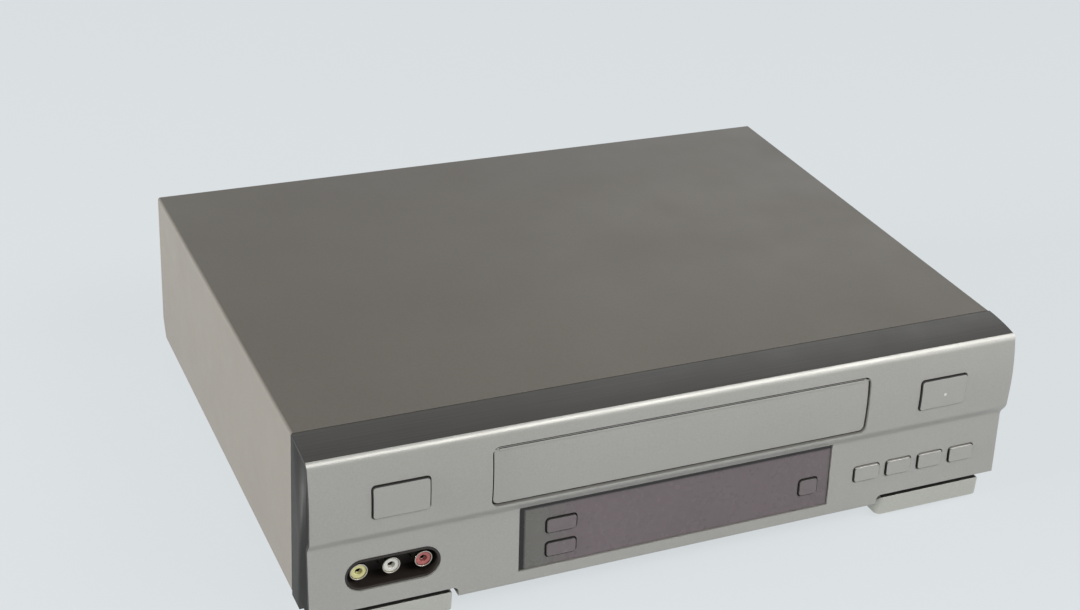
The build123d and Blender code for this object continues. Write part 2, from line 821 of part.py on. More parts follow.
# ---------------------------------------------------------------- case
def make_top_cover():
    """The folded steel cover: top, two sides and a lip down over the rear panel."""
    y0 = cover_front_y + panel_cover_gap
    outer = block(-half_width, half_width, y0, cover_rear_y, cover_side_bottom, case_height)
    outer = fillet(outer.edges().filter_by(Axis.Y).group_by(Axis.Z)[-1], cover_bend_radius)
    inner_x = half_width - cover_sheet
    inner = block(
        -inner_x, inner_x, y0 - 1, cover_rear_y + 1, cover_side_bottom - 1, case_height - cover_sheet
    )
    inner = fillet(inner.edges().filter_by(Axis.Y).group_by(Axis.Z)[-1], cover_bend_radius - cover_sheet)
    cover = outer - inner
    cover += block(
        -inner_x, inner_x, rear_face_y, cover_rear_y, case_height - cover_rear_lip, case_height - cover_sheet
    )
    for x in cover_screw_places:
        cover -= rod_y(x, rear_face_y - 1, cover_rear_y + 1, cover_screw_z, screw_shank_radius + 0.2)
    corner = Polyline(
        (cover_rear_y - cover_corner_cut, cover_side_bottom),
        (cover_rear_y, cover_side_bottom),
        (cover_rear_y, cover_side_bottom + 2 * cover_corner_cut),
        close=True,
    )
    cut = extrude(make_face(Plane.YZ * corner), case_width, dir=(1, 0, 0))
    return cover - Pos(-half_width, 0, 0) * cut


def vent_slots(x, y, count):
    """A row of vent slots through the tray, side by side along X."""
    first = x - (count - 1) * vent_pitch / 2
    slot = extrude(SlotOverall(vent_length, vent_width, rotation=90), tray_sheet + 2)
    slots = [Pos(first + place * vent_pitch, y, tray_bottom - 1) * slot for place in range(count)]
    return Compound(children=slots)


def pillar(x, y, z_top, radius):
    """A pressed pillar of the tray, with a hole for a screw."""
    return post(x, y, tray_bottom + tray_sheet / 2, z_top, radius) - post(
        x, y, tray_bottom + tray_sheet, z_top + 1, pillar_bore
    )


def make_base_tray():
    """The steel tray: floor, side and front walls, pillars for the board and the deck."""
    tray = block(
        -inner_half_width, inner_half_width, tray_front_y, rear_face_y,
        tray_bottom, tray_bottom + tray_wall_height,
    )
    tray -= block(
        tray_sheet - inner_half_width, inner_half_width - tray_sheet,
        tray_front_y + tray_sheet, rear_face_y + 1, tray_top, tray_bottom + tray_wall_height + 1,
    )
    corner = block(
        -half_width, half_width, rear_face_y - cover_corner_cut - 3, rear_face_y + 1,
        tray_top, tray_bottom + tray_wall_height + 1,
    )
    tray -= corner
    for x in claw_places:
        tray -= block(
            x - claw_width / 2 - fit_gap, x + claw_width / 2 + fit_gap,
            tray_front_y - 1, tray_front_y + tray_sheet + 1,
            claw_z - fit_gap, claw_z + claw_thickness + fit_gap,
        )
    for x, y, count in zip(vent_x, vent_field_y, vent_slot_counts):
        tray -= vent_slots(x, y, count)
    for x, y in deck_pillars:
        tray += pillar(x, y, deck_bottom, deck_pillar_radius)
    for x, y in board_pillars:
        tray += pillar(x, y, main_board_z, board_pillar_radius)
    for x, y in foot_screws:
        tray -= post(x, y, tray_bottom - 1, tray_top + 1, screw_shank_radius + 0.1)
    return tray


def make_rear_panel():
    """The flat rear panel, with holes for every connector and a field of vents."""
    top = case_height - cover_sheet - fit_gap
    panel = block(-rear_half_width, rear_half_width, rear_face_y - rear_sheet, rear_face_y, tray_top, top)
    through = (rear_face_y - rear_sheet - 1, rear_face_y + 1)
    for x, z in rear_jack_places:
        panel -= rod_y(x, *through, z, jack_barrel_radius + jack_root_gap)
    for x, z in aerial_places:
        panel -= rod_y(x, *through, z, aerial_radius + fit_gap)
    panel -= rounded_y(
        inlet_x, inlet_z, inlet_width + 2 * fit_gap, inlet_height + 2 * fit_gap, *through, inlet_corner
    )
    for x in cover_screw_places:
        panel -= rod_y(x, *through, cover_screw_z, screw_shank_radius + 0.1)
    for row in range(rear_vent_rows):
        for column in range(rear_vent_columns):
            x = rear_vent_x + column * (rear_vent_length + rear_vent_bridge)
            z = rear_vent_z + row * 2 * rear_vent_height
            panel -= rounded_y(x, z, rear_vent_length, rear_vent_height, *through, rear_vent_height / 2)
    return panel


def make_front_feet():
    """Two wide silver feet under the front panel's ends, each with a pocket for its pad."""
    feet = []
    for side in (-1, 1):
        x = side * (foot_outer_x - foot_width / 2)
        foot_rear_y = foot_block_y + foot_depth
        foot = rounded_z(
            x, foot_block_y + foot_depth / 2, foot_width, foot_depth, pad_proud,
            notch_top - foot_gap, foot_corner,
        )
        foot &= rounded_y(
            x, notch_top - foot_gap - foot_width / 2, foot_width, foot_width,
            foot_block_y - 1, foot_rear_y + 1, foot_corner,
        )
        foot -= block(
            x - foot_width, x + foot_width, foot_block_y + foot_block_depth, foot_rear_y + 1,
            panel_bottom - foot_rear_gap, notch_top,
        )
        foot += block(
            x - foot_width / 2 + foot_corner, x + foot_width / 2 - foot_corner,
            tray_front_y + 1, foot_rear_y - foot_corner, pad_proud, tray_bottom,
        )
        foot -= post(x, pad_y, 0, pad_height, pad_radius + 0.1)
        foot -= post(x, foot_screw_y, -1, tray_bottom + 1, screw_shank_radius + 0.1)
        foot -= post(x, foot_screw_y, -1, foot_screw_seat, screw_head_radius + 0.3)
        feet.append(foot)
    return Compound(children=feet)


def make_rubber_feet():
    """Two round rear feet and the two pads under the front feet."""
    pieces = []
    for side in (-1, 1):
        rear_x = side * (half_width - rear_foot_inset_x)
        foot = post(rear_x, rear_foot_y, 0, tray_bottom, rear_foot_radius)
        foot = fillet(foot.edges().group_by(Axis.Z)[0], 1.5)
        foot -= post(rear_x, rear_foot_y, -1, foot_screw_seat, screw_head_radius + 0.3)
        foot -= post(rear_x, rear_foot_y, -1, tray_bottom + 1, screw_shank_radius + 0.1)
        pieces.append(foot)
        pad_x = side * (foot_outer_x - foot_width / 2)
        pieces.append(post(pad_x, pad_y, 0, pad_height, pad_radius))
    return Compound(children=pieces)


def screw_up(x, y, z_seat):
    """A screw pointing up, whose head's upper side is at z_seat."""
    head = post(x, y, z_seat - screw_head_height, z_seat, screw_head_radius)
    head -= cross_recess(x, y, z_seat - screw_head_height)
    return head + post(x, y, z_seat - 0.5, z_seat + screw_length, screw_shank_radius)


def cross_recess(x, y, z):
    """The cross cut into a screw's head, centred on z."""
    arm = Box(screw_head_radius * 1.1, 0.6, 1.2) + Box(0.6, screw_head_radius * 1.1, 1.2)
    return Pos(x, y, z) * arm


def make_case_screws():
    """Three screws through the cover's lip and one through each foot."""
    screws = [screw_up(x, y, foot_screw_seat) for x, y in foot_screws]
    for x in cover_screw_places:
        screw = Rot(90, 0, 0) * screw_up(0, 0, 0)
        screws.append(Pos(x, cover_rear_y, cover_screw_z) * screw)
    return Compound(children=screws)


# ---------------------------------------------------------------- jacks and connectors
def front_jack_places():
    """Centres of the three front jacks: x, z."""
    return [(jack_pocket_x + step * jack_pitch, jack_pocket_z) for step in (-1, 0, 1)]


def make_jack_housings():
    """The front jacks' cup with its block, and the rear jacks' block."""
    width, height = jack_pocket_size
    cup = jack_prism(0, jack_cup_front, jack_floor_y + jack_cup_wall)
    cup -= jack_prism(-jack_cup_wall, jack_cup_front - 1, jack_floor_y)
    front = cup + block(
        jack_pocket_x - width / 2, jack_pocket_x + width / 2, jack_floor_y + jack_cup_wall / 2,
        jack_floor_y + jack_housing_depth, jack_pocket_z - height / 2, jack_pocket_z + height / 2,
    )
    for x, z in front_jack_places():
        front -= rod_y(
            x, jack_floor_y - 1, jack_floor_y + jack_cup_wall, z, jack_barrel_radius + jack_root_gap
        )
    rear_y = rear_face_y - rear_sheet
    xs = [x for x, z in rear_jack_places]
    zs = [z for x, z in rear_jack_places]
    rear = block(
        min(xs) - jack_pitch / 2, max(xs) + jack_pitch / 2, rear_y - jack_housing_depth, rear_y,
        min(zs) - jack_pitch / 2, max(zs) + jack_pitch / 2,
    )
    for x, z in rear_jack_places:
        rear -= rod_y(x, rear_y - jack_cup_wall, rear_y + 1, z, jack_barrel_radius + running_gap)
    return Compound(children=[front, rear])


def jack_barrel(x, z, y_root, direction):
    """A phono jack's metal barrel; direction is -1 when it points to the front."""
    y_tip = y_root + direction * jack_barrel_length
    low, high = sorted((y_root - direction * jack_cup_wall, y_tip))
    barrel = rod_y(x, low, high, z, jack_barrel_radius)
    return barrel - rod_y(x, low - 1, high + 1, z, jack_barrel_radius - jack_barrel_wall)


def jack_insert(x, z, y_root, direction):
    """The coloured insulator inside a jack's barrel, with the centre contact's bore."""
    y_tip = y_root + direction * (jack_barrel_length - jack_insert_recess)
    low, high = sorted((y_root - direction * jack_cup_wall, y_tip))
    insert = rod_y(x, low, high, z, jack_barrel_radius - jack_barrel_wall - 0.05)
    bore_low, bore_high = sorted((y_root, y_tip + direction))
    return insert - rod_y(x, bore_low, bore_high, z, jack_bore_radius)


def make_power_inlet():
    """A two-pin mains inlet: a shell with a round-ended well and two pins."""
    back = rear_face_y - rear_sheet
    rim = rear_face_y + inlet_proud
    floor = back - inlet_well
    pin_xs = [inlet_x + side * inlet_pin_pitch / 2 for side in (-1, 1)]
    flange = rounded_y(
        inlet_x, inlet_z, inlet_width + 2 * inlet_flange, inlet_height + 2 * inlet_flange,
        back - inlet_flange, back, inlet_corner,
    )
    shell = flange + rounded_y(
        inlet_x, inlet_z, inlet_width, inlet_height, back - inlet_depth, rim, inlet_corner
    )
    well_width = inlet_pin_pitch + 2 * inlet_well_radius
    shell -= rounded_y(
        inlet_x, inlet_z, well_width, 2 * inlet_well_radius, floor, rim + 1, inlet_well_radius
    )
    pins = [rod_y(x, floor, rear_face_y - 1, inlet_z, inlet_pin_radius) for x in pin_xs]
    return Compound(children=[shell] + pins)


def make_tuner():
    """The tuner can with its two threaded aerial sockets."""
    back = rear_face_y - rear_sheet
    can = block(
        tuner_x - tuner_width / 2, tuner_x + tuner_width / 2, back - tuner_length, back,
        tuner_low_z, tuner_low_z + tuner_height,
    )
    tip = rear_face_y + connector_reach
    for x, z in aerial_places:
        socket = rod_y(x, back - 1, tip, z, aerial_radius)
        for groove in range(aerial_grooves):
            y = tip - (groove + 1) * aerial_groove_pitch
            ring = rod_y(x, y - aerial_groove, y + aerial_groove, z, aerial_radius + 1)
            socket -= ring - rod_y(x, y - 1, y + 1, z, aerial_radius - aerial_groove)
        socket -= rod_y(x, rear_face_y, tip + 1, z, aerial_bore_radius)
        socket += rod_y(x, rear_face_y - 1, tip - 1, z, aerial_core_radius)
        socket -= rod_y(x, rear_face_y + 1, tip + 1, z, aerial_pin_hole_radius)
        can += socket
    return can


# ---------------------------------------------------------------- boards
def make_front_board():
    """The upright board behind the front panel, with a tower behind each main button."""
    tower_in = door_width / 2 + front_board_tower_gap
    left = jack_pocket_x - jack_pocket_size[0] / 2
    jack_top = jack_pocket_z + jack_pocket_size[1] / 2 + 2
    right = key_first_x + (len(key_names) - 1) * key_pitch + key_size[0] / 2 + 4
    jack_side = jack_pocket_x + jack_pocket_size[0] / 2 + 4
    outline = Polyline(
        (left, jack_top), (jack_side, jack_top), (jack_side, front_board_low), (right, front_board_low),
        (right, front_board_high), (tower_in, front_board_high), (tower_in, front_board_mid),
        (-tower_in, front_board_mid), (-tower_in, front_board_high), (left, front_board_high),
        close=True,
    )
    return Pos(0, board_back_y, 0) * Rot(90, 0, 0) * extrude(make_face(outline), board_thickness)


def make_key_switches():
    """One small switch on the front board behind each button."""
    width, thick, height = key_switch_size
    switches = [
        block(
            x - width / 2, x + width / 2, switch_front_y, board_front_y, z - height / 2, z + height / 2
        )
        for x, z, size in button_places.values()
    ]
    return Compound(children=switches)


def make_display_tube():
    """The display tube between the front board and the window."""
    return block(
        display_x - display_size[0] / 2, display_x + display_size[0] / 2,
        board_front_y - display_size[1], board_front_y,
        display_z - display_size[2] / 2, display_z + display_size[2] / 2,
    )


def make_main_board():
    """The main board, with holes for the deck's pillars and the drum motor."""
    board = block(
        -board_half_width, board_half_width, main_board_front_y, main_board_rear_y,
        main_board_z, main_board_z + board_thickness,
    )
    low = main_board_z - 1
    high = main_board_z + board_thickness + 1
    for x, y in deck_pillars:
        board -= post(x, y, low, high, deck_pillar_radius + 1)
    return board - post(drum_x, drum_y, low, high, drum_rotor_radius + drum_rotor_gap)


def make_board_parts():
    """Capacitors and chips that stand on the main board."""
    top = main_board_z + board_thickness
    pieces = []
    for side, inset, y, radius, height in capacitors:
        pieces.append(post(side * (half_width - inset), y, top, top + height, radius))
    for x, y, width, length in chips:
        pieces.append(
            block(x - width / 2, x + width / 2, y - length / 2, y + length / 2, top, top + chip_height)
        )
    return Compound(children=pieces)


def make_power_transformer():
    """The switching transformer: an E-core with its wound bobbin."""
    top = main_board_z + board_thickness
    x = transformer_inset - half_width
    y = transformer_y
    width, length, height = transformer_size
    core = block(x - width / 2, x + width / 2, y - length / 4, y + length / 4, top, top + height)
    coil = rounded_z(x, y, width * 0.66, length, top, top + height * 0.86, 4)
    return core + coil


def make_heat_sink():
    """A finned aluminium heat sink for the power supply."""
    top = main_board_z + board_thickness
    x = heat_sink_inset - half_width
    y = heat_sink_y
    width, length, height = heat_sink_size
    sink = block(x - fin_sheet / 2, x + fin_sheet / 2, y - length / 2, y + length / 2, top, top + height)
    for fin in range(fin_count):
        fin_y = y - length / 2 + fin * (length - fin_sheet) / (fin_count - 1)
        sink += block(x - width / 2, x + width / 2, fin_y, fin_y + fin_sheet, top, top + height)
    return sink


# ---------------------------------------------------------------- tape deck
drum_frame = Pos(drum_x, drum_y, deck_z) * Rot(drum_tilt, 0, 0)
cam_centre = (cam_x, cam_y)
motor_centre = (cam_x, cam_y + gear_module * (cam_teeth + pinion_teeth) / 2)
gear_z = deck_z + gear_level
idler_distance = clutch_wheel_radius + idler_radius + wheel_gap
idler_y = clutch_y - idler_distance
wheel_z = deck_z + wheel_level
reel_places = {"supply_reel_table": -reel_pitch / 2, "take_up_reel_table": reel_pitch / 2}
guide_ends = {
    "supply_guide": (-1, drum_x - guide_start_offset, drum_x - guide_end_offset),
    "take_up_guide": (1, drum_x + guide_start_offset, drum_x + guide_end_offset),
}
guide_end_y = guide_start_y + guide_travel_y
pinch_pressed_y = capstan_y + capstan_radius + wheel_gap + pinch_radius
pinch_reach = math.hypot(capstan_x - pinch_pivot_x, pinch_pressed_y - pinch_pivot_y)
pinch_pressed_angle = math.atan2(pinch_pressed_y - pinch_pivot_y, capstan_x - pinch_pivot_x)
pinch_rest_angle = pinch_pressed_angle - math.radians(pinch_swing_angle)
pinch_x = pinch_pivot_x + pinch_reach * math.cos(pinch_rest_angle)
pinch_y = pinch_pivot_y + pinch_reach * math.sin(pinch_rest_angle)


def make_deck_plate():
    """The steel deck: slots for the guides, clearance for the drum, staked posts."""
    deck = rounded_z(
        0, (deck_front_y + deck_rear_y) / 2, 2 * deck_half_width, deck_length, deck_bottom, deck_z, 4
    )
    low = deck_bottom - 1
    high = deck_z + 1
    deck -= post(drum_x, drum_y, low, high, drum_rotor_radius + drum_rotor_gap)
    for side, x_start, x_end in guide_ends.values():
        deck -= bar(x_start, guide_start_y, x_end, guide_end_y, guide_slot_width, low, high)
    for x, y in ((capstan_x, capstan_y), (0, clutch_y)):
        deck -= post(x, y, low, high, bush_radius)
    for x in reel_places.values():
        deck += post(x, reel_y, deck_bottom, reel_spindle_top - 4, pin_radius)
    for x, y in ((pinch_pivot_x, pinch_pivot_y), (tension_pivot_x, tension_pivot_y)):
        deck += post(x, y, deck_bottom, arm_z + arm_sheet + 2, pin_radius)
    deck += post(*cam_centre, deck_bottom, gear_z + gear_width + 2, pin_radius)
    for x, y in cassette_rests:
        deck += post(x, y, deck_bottom, cassette_lowered - fit_gap, cassette_rest_radius)
    for x, y in deck_pillars:
        deck -= post(x, y, low, high, screw_shank_radius + 0.1)
    return deck


def make_lower_drum():
    """The fixed lower drum on its wedge-shaped foot, bored for the drum's shaft."""
    foot = Pos(0, 0, -drum_foot / 2) * Cylinder(drum_radius + drum_flange, 3 * drum_foot)
    foot -= Pos(0, 0, -drum_radius) * Cylinder(drum_rotor_radius + drum_rotor_gap, 2 * drum_radius)
    body = Pos(0, 0, drum_foot + lower_drum_height / 2) * Cylinder(drum_radius, lower_drum_height)
    drum = drum_frame * (foot + body)
    reach = 2 * drum_radius
    drum -= block(
        drum_x - reach, drum_x + reach, drum_y - reach, drum_y + reach, deck_z - reach, deck_z
    )
    return drum - drum_frame * Cylinder(drum_shaft_radius + running_gap, 4 * drum_radius)


def make_upper_drum():
    """The spinning upper drum with its two head windows."""
    low = drum_foot + lower_drum_height + drum_split
    drum = Pos(0, 0, low + upper_drum_height / 2) * Cylinder(drum_radius, upper_drum_height)
    drum -= Pos(0, 0, low + upper_drum_height) * Cylinder(drum_radius - 6, 8)
    for side in (-1, 1):
        drum -= Pos(side * drum_radius, 0, low + 1) * Box(3, 4, 2.4)
    drum = drum_frame * drum
    return drum - drum_frame * Cylinder(drum_shaft_radius, 4 * drum_radius)


def make_drum_rotor():
    """The drum's shaft and, under the deck, the rotor of its motor."""
    top = drum_foot + lower_drum_height + drum_split + upper_drum_height + 1
    rotor_low = -deck_sheet - rotor_drop - drum_rotor_thickness
    shaft = Pos(0, 0, (top + rotor_low) / 2) * Cylinder(drum_shaft_radius, top - rotor_low)
    rotor = Cylinder(drum_rotor_radius, drum_rotor_thickness)
    return drum_frame * (shaft + Pos(0, 0, rotor_low + drum_rotor_thickness / 2) * rotor)


def make_motor_stators():
    """Coil rings of the drum motor and of the capstan motor."""
    drum_ring = Pos(0, 0, stator_thickness / 2) * Cylinder(drum_rotor_radius - 1, stator_thickness)
    drum_ring -= Cylinder(drum_shaft_radius + 2, 4 * stator_thickness)
    capstan_ring = post(
        capstan_x, capstan_y, deck_bottom - stator_thickness, deck_bottom, flywheel_radius - 2
    )
    capstan_ring -= post(capstan_x, capstan_y, deck_bottom - 9, deck_bottom + 1, bush_radius + 1)
    stator_z = -deck_sheet - rotor_drop + 0.6
    return Compound(children=[drum_frame * Pos(0, 0, stator_z) * drum_ring, capstan_ring])


def make_capstan():
    """The capstan shaft with the flywheel and belt pulley pressed on under the deck."""
    top = deck_bottom - stator_thickness - 0.6
    wheel = post(capstan_x, capstan_y, top - flywheel_thickness, top, flywheel_radius)
    pulley = post(capstan_x, capstan_y, pulley_low, top - flywheel_thickness, flywheel_pulley_radius)
    shaft = post(capstan_x, capstan_y, pulley_low, guide_top, capstan_radius)
    return wheel + pulley + shaft


def make_bushes():
    """Bearing bushes pressed into the deck for the capstan and the clutch shaft."""
    capstan_low = deck_bottom - stator_thickness + 0.2
    capstan_bush = post(capstan_x, capstan_y, capstan_low, arm_z + arm_sheet, bush_radius)
    capstan_bush -= post(capstan_x, capstan_y, 0, case_height, capstan_radius + running_gap)
    clutch_bush = post(0, clutch_y, deck_bottom - 1, deck_z + 0.3, bush_radius)
    clutch_bush -= post(0, clutch_y, 0, case_height, clutch_shaft_radius + running_gap)
    return Compound(children=[capstan_bush, clutch_bush])


def make_clutch():
    """The belt-driven clutch pulley, its shaft and the drive wheel above the deck."""
    pulley = post(0, clutch_y, pulley_low, pulley_low + pulley_width, clutch_pulley_radius)
    shaft = post(0, clutch_y, pulley_low, wheel_z + wheel_width, clutch_shaft_radius)
    wheel = post(0, clutch_y, wheel_z, wheel_z + wheel_width, clutch_wheel_radius)
    return pulley + shaft + wheel


def make_belt():
    """The flat rubber belt round the capstan's pulley and the clutch pulley."""
    ends = ((capstan_x, capstan_y, flywheel_pulley_radius), (0, clutch_y, clutch_pulley_radius))
    outer = make_hull(
        [Pos(x, y) * Circle(radius + belt_gap + belt_size).edge() for x, y, radius in ends]
    )
    inner = make_hull([Pos(x, y) * Circle(radius + belt_gap).edge() for x, y, radius in ends])
    return Pos(0, 0, pulley_low + (pulley_width - belt_size) / 2) * extrude(outer - inner, belt_size)


def make_idler_arm():
    """The arm that swings the idler wheel between the two reel tables."""
    arm_low = deck_z + 0.4
    arm = bar(0, clutch_y, 0, idler_y, 8, arm_low, arm_low + idler_sheet)
    arm -= post(0, clutch_y, 0, case_height, clutch_shaft_radius + running_gap)
    return arm + post(0, idler_y, arm_low, wheel_z + wheel_width + 0.4, pin_radius)


def make_idler_wheel():
    """The rubber-rimmed idler wheel."""
    wheel = post(0, idler_y, wheel_z, wheel_z + wheel_width, idler_radius)
    return wheel - post(0, idler_y, 0, case_height, pin_radius + running_gap)


def make_reel_table(x):
    """A reel table: driven rim, hub and a spindle with three splines."""
    table = post(x, reel_y, wheel_z - 0.4, wheel_z - 0.4 + reel_rim_height, reel_rim_radius)
    table += post(x, reel_y, wheel_z, cassette_lowered - fit_gap, reel_hub_radius)
    table += post(x, reel_y, wheel_z, reel_spindle_top, reel_spindle_radius)
    for spline in range(3):
        fin = Pos(reel_spindle_radius, 0, 0) * Box(2.4, 1.2, reel_spindle_top - cassette_lowered - 1.5)
        middle = (reel_spindle_top + cassette_lowered) / 2
        table += Pos(x, reel_y, middle) * Rot(0, 0, 120 * spline) * fin
    return table - post(x, reel_y, 0, reel_spindle_top - 3, pin_radius + running_gap)


def make_pinch_arm():
    """The arm that presses the pinch roller to the capstan, at its rest angle."""
    arm = bar(
        pinch_pivot_x, pinch_pivot_y, pinch_x, pinch_y,
        pinch_arm_width, arm_z, arm_z + arm_sheet,
    )
    arm -= post(pinch_pivot_x, pinch_pivot_y, 0, case_height, pin_radius + running_gap)
    return arm + post(pinch_x, pinch_y, arm_z, arm_z + arm_sheet + pinch_height + 2, pin_radius)


def make_pinch_roller():
    """The rubber pinch roller on its arm's axle."""
    low = arm_z + arm_sheet + 0.4
    roller = post(pinch_x, pinch_y, low, low + pinch_height, pinch_radius)
    return roller - post(pinch_x, pinch_y, 0, case_height, pin_radius + running_gap)


def make_guide(side, x_start):
    """A loading guide: its base on the deck, tongue and washer below, post and roller above."""
    width, length, height = guide_base_size
    base_low = deck_z + fit_gap
    base = rounded_z(x_start, guide_start_y, width, length, base_low, base_low + height, 2)
    tongue = post(x_start, guide_start_y, washer_low, base_low, guide_slot_width / 2 - fit_gap)
    washer = post(
        x_start, guide_start_y, washer_low, washer_low + washer_thickness, guide_slot_width,
    )
    shaft = post(x_start, guide_start_y, base_low, guide_top, guide_shaft_radius)
    roller = post(x_start, guide_start_y, base_low + height + 1, guide_top - 2, guide_roller_radius)
    post_x = x_start - side * guide_post_offset
    tape_post = post(post_x, guide_start_y, base_low, guide_top - 4, guide_shaft_radius)
    return base + tongue + washer + shaft + roller + tape_post


def make_tension_arm():
    """The back-tension arm with its upright tape post."""
    tip = (
        tension_pivot_x + tension_arm_length * math.sin(math.radians(tension_rest_angle)),
        tension_pivot_y - tension_arm_length * math.cos(math.radians(tension_rest_angle)),
    )
    arm = bar(tension_pivot_x, tension_pivot_y, *tip, 6, arm_z - 1.4, arm_z - 1.4 + arm_sheet / 2)
    arm -= post(tension_pivot_x, tension_pivot_y, 0, case_height, pin_radius + running_gap)
    return arm + post(*tip, arm_z - 1.4, guide_top, pin_radius)


def make_cam_gear():
    """The cam gear that drives the guides and the arms, with its cam groove on top."""
    gear = Pos(*cam_centre, gear_z) * spur_gear(
        gear_module, cam_teeth, gear_width, pin_radius + running_gap, phase=90
    )
    radius = gear_module * cam_teeth / 2
    groove = Pos(3, 0, 0) * (Cylinder(radius * 0.62, 3) - Cylinder(radius * 0.62 - 3, 4))
    return gear - Pos(*cam_centre, gear_z + gear_width) * groove


def make_loading_pinion():
    """The loading motor's shaft and pinion, in mesh with the cam gear."""
    gap_phase = -90 + 180 / pinion_teeth
    pinion = Pos(*motor_centre, gear_z) * spur_gear(
        gear_module, pinion_teeth, gear_width, motor_shaft_radius / 2, phase=gap_phase
    )
    shaft = post(*motor_centre, gear_z, motor_low + 6, motor_shaft_radius)
    return pinion + shaft


def make_loading_motor():
    """The loading motor, upside down on a two-legged bracket."""
    x, y = motor_centre
    can = post(x, y, motor_low, motor_low + motor_height, motor_radius)
    can -= post(x, y, 0, motor_low + 8, motor_shaft_radius + running_gap)
    legs_y = y + bracket_back
    plate_low = motor_low - bracket_sheet
    plate = bar(
        x - bracket_reach, legs_y, x + bracket_reach, legs_y, bracket_width, plate_low, motor_low
    )
    plate += block(x - bracket_width, x + bracket_width, y - bracket_width, legs_y, plate_low, motor_low)
    plate -= post(x, y, 0, case_height, motor_shaft_radius + 1)
    for side in (-1, 1):
        plate += post(x + side * bracket_reach, legs_y, deck_z, motor_low, bracket_leg_radius)
    return Compound(children=[can, plate])


def make_tape_heads():
    """The full-erase head beside the drum and the audio and control head."""
    pieces = []
    for x, y, width, length in head_places:
        head = block(x - width / 2, x + width / 2, y - length / 2, y + length / 2, deck_z + 8, guide_top - 3)
        stand = post(x, y, deck_z, deck_z + 8, 3)
        pieces.append(head + stand)
    return Compound(children=pieces)


# ---------------------------------------------------------------- cassette carrier
carrier_front_y = cassette_front + 2 - cassette_travel - carrier_length
carrier_rear_y = carrier_front_y + carrier_length
carrier_inner_x = cassette_width / 2 + cassette_side_gap
carrier_outer_x = carrier_inner_x + carrier_sheet
carrier_floor_top = cassette_raised
carrier_top = cassette_raised + cassette_height + cassette_side_gap
rack_outer_x = carrier_frame_x - rack_side_gap
rack_inner_x = rack_outer_x - rack_thickness
pin_places = (carrier_front_y + 8, carrier_rear_y - 8)
carrier_pin_z = cassette_raised + cassette_height / 2
pinion_radius = gear_module * carrier_pinion_teeth / 2
rack_pitch_z = carrier_pin_z - cassette_drop - rack_pitch_drop
rack_root_z = rack_pitch_z + 1.2 * gear_module
tooth_pitch = math.pi * gear_module
pinion_y = carrier_front_y + cassette_travel + pinion_margin
pinion_z = rack_pitch_z - pinion_radius


def make_carrier_frame():
    """Two upright side plates and the bridge that ties them together."""
    x0 = carrier_frame_x
    x1 = carrier_frame_x + carrier_frame_sheet
    carrier_frame_top = carrier_top + carrier_sheet + carrier_frame_rise
    pieces = []
    for side in (-1, 1):
        plate = block(x0, x1, deck_front_y + 2, carrier_frame_rear_y, deck_z, carrier_frame_top)
        plate += block(
            x0 - rail_width, x1, carrier_front_y, carrier_frame_rear_y,
            rack_top + fit_gap, rack_top + fit_gap + rail_width,
        )
        if side > 0:
            plate += rod_x(rack_inner_x - 0.4, x0 + 0.1, pinion_y, pinion_z, pin_radius)
        else:
            plate = mirror(plate, about=Plane.YZ)
        pieces.append(plate)
    bridge = block(
        -x1, x1, bridge_y, bridge_y + bridge_length,
        carrier_frame_top, carrier_frame_top + carrier_frame_sheet,
    )
    pieces.append(bridge)
    return Compound(children=pieces)


def make_carrier_racks():
    """The two sliding racks: an upright slot for each carrier pin, teeth along the bottom."""
    rack = block(rack_inner_x, rack_outer_x, carrier_front_y, rack_rear_y, rack_root_z, rack_top)
    slot_width = 2 * (pin_radius + fit_gap)
    slot = extrude(SlotOverall(cassette_drop + slot_width, slot_width), rack_thickness + 2)
    for y in pin_places:
        rack -= Pos(rack_inner_x - 1, y, carrier_pin_z - cassette_drop / 2) * Rot(0, 90, 0) * slot
    tip_z = rack_pitch_z - 0.8 * gear_module
    outline = Polyline(
        (pinion_y - rack_root_half, rack_root_z + 0.2),
        (pinion_y - rack_tip_half, tip_z),
        (pinion_y + rack_tip_half, tip_z),
        (pinion_y + rack_root_half, rack_root_z + 0.2),
        close=True,
    )
    tooth = extrude(make_face(Plane.YZ * outline), rack_thickness, dir=(1, 0, 0))
    first = -math.floor((pinion_y - carrier_front_y - tooth_pitch / 2) / tooth_pitch)
    last = math.floor((rack_rear_y - pinion_y - tooth_pitch / 2) / tooth_pitch)
    for place in range(first, last + 1):
        rack += Pos(rack_inner_x, place * tooth_pitch, 0) * tooth
    return Compound(children=[rack, mirror(rack, about=Plane.YZ)])


def make_carrier_pinion():
    """The pinion on the right side plate, in mesh with the right rack."""
    gear = spur_gear(
        gear_module, carrier_pinion_teeth, rack_thickness, pin_radius + running_gap,
        phase=180 + 180 / carrier_pinion_teeth,
    )
    return Pos(rack_inner_x, pinion_y, pinion_z) * Rot(0, 90, 0) * gear


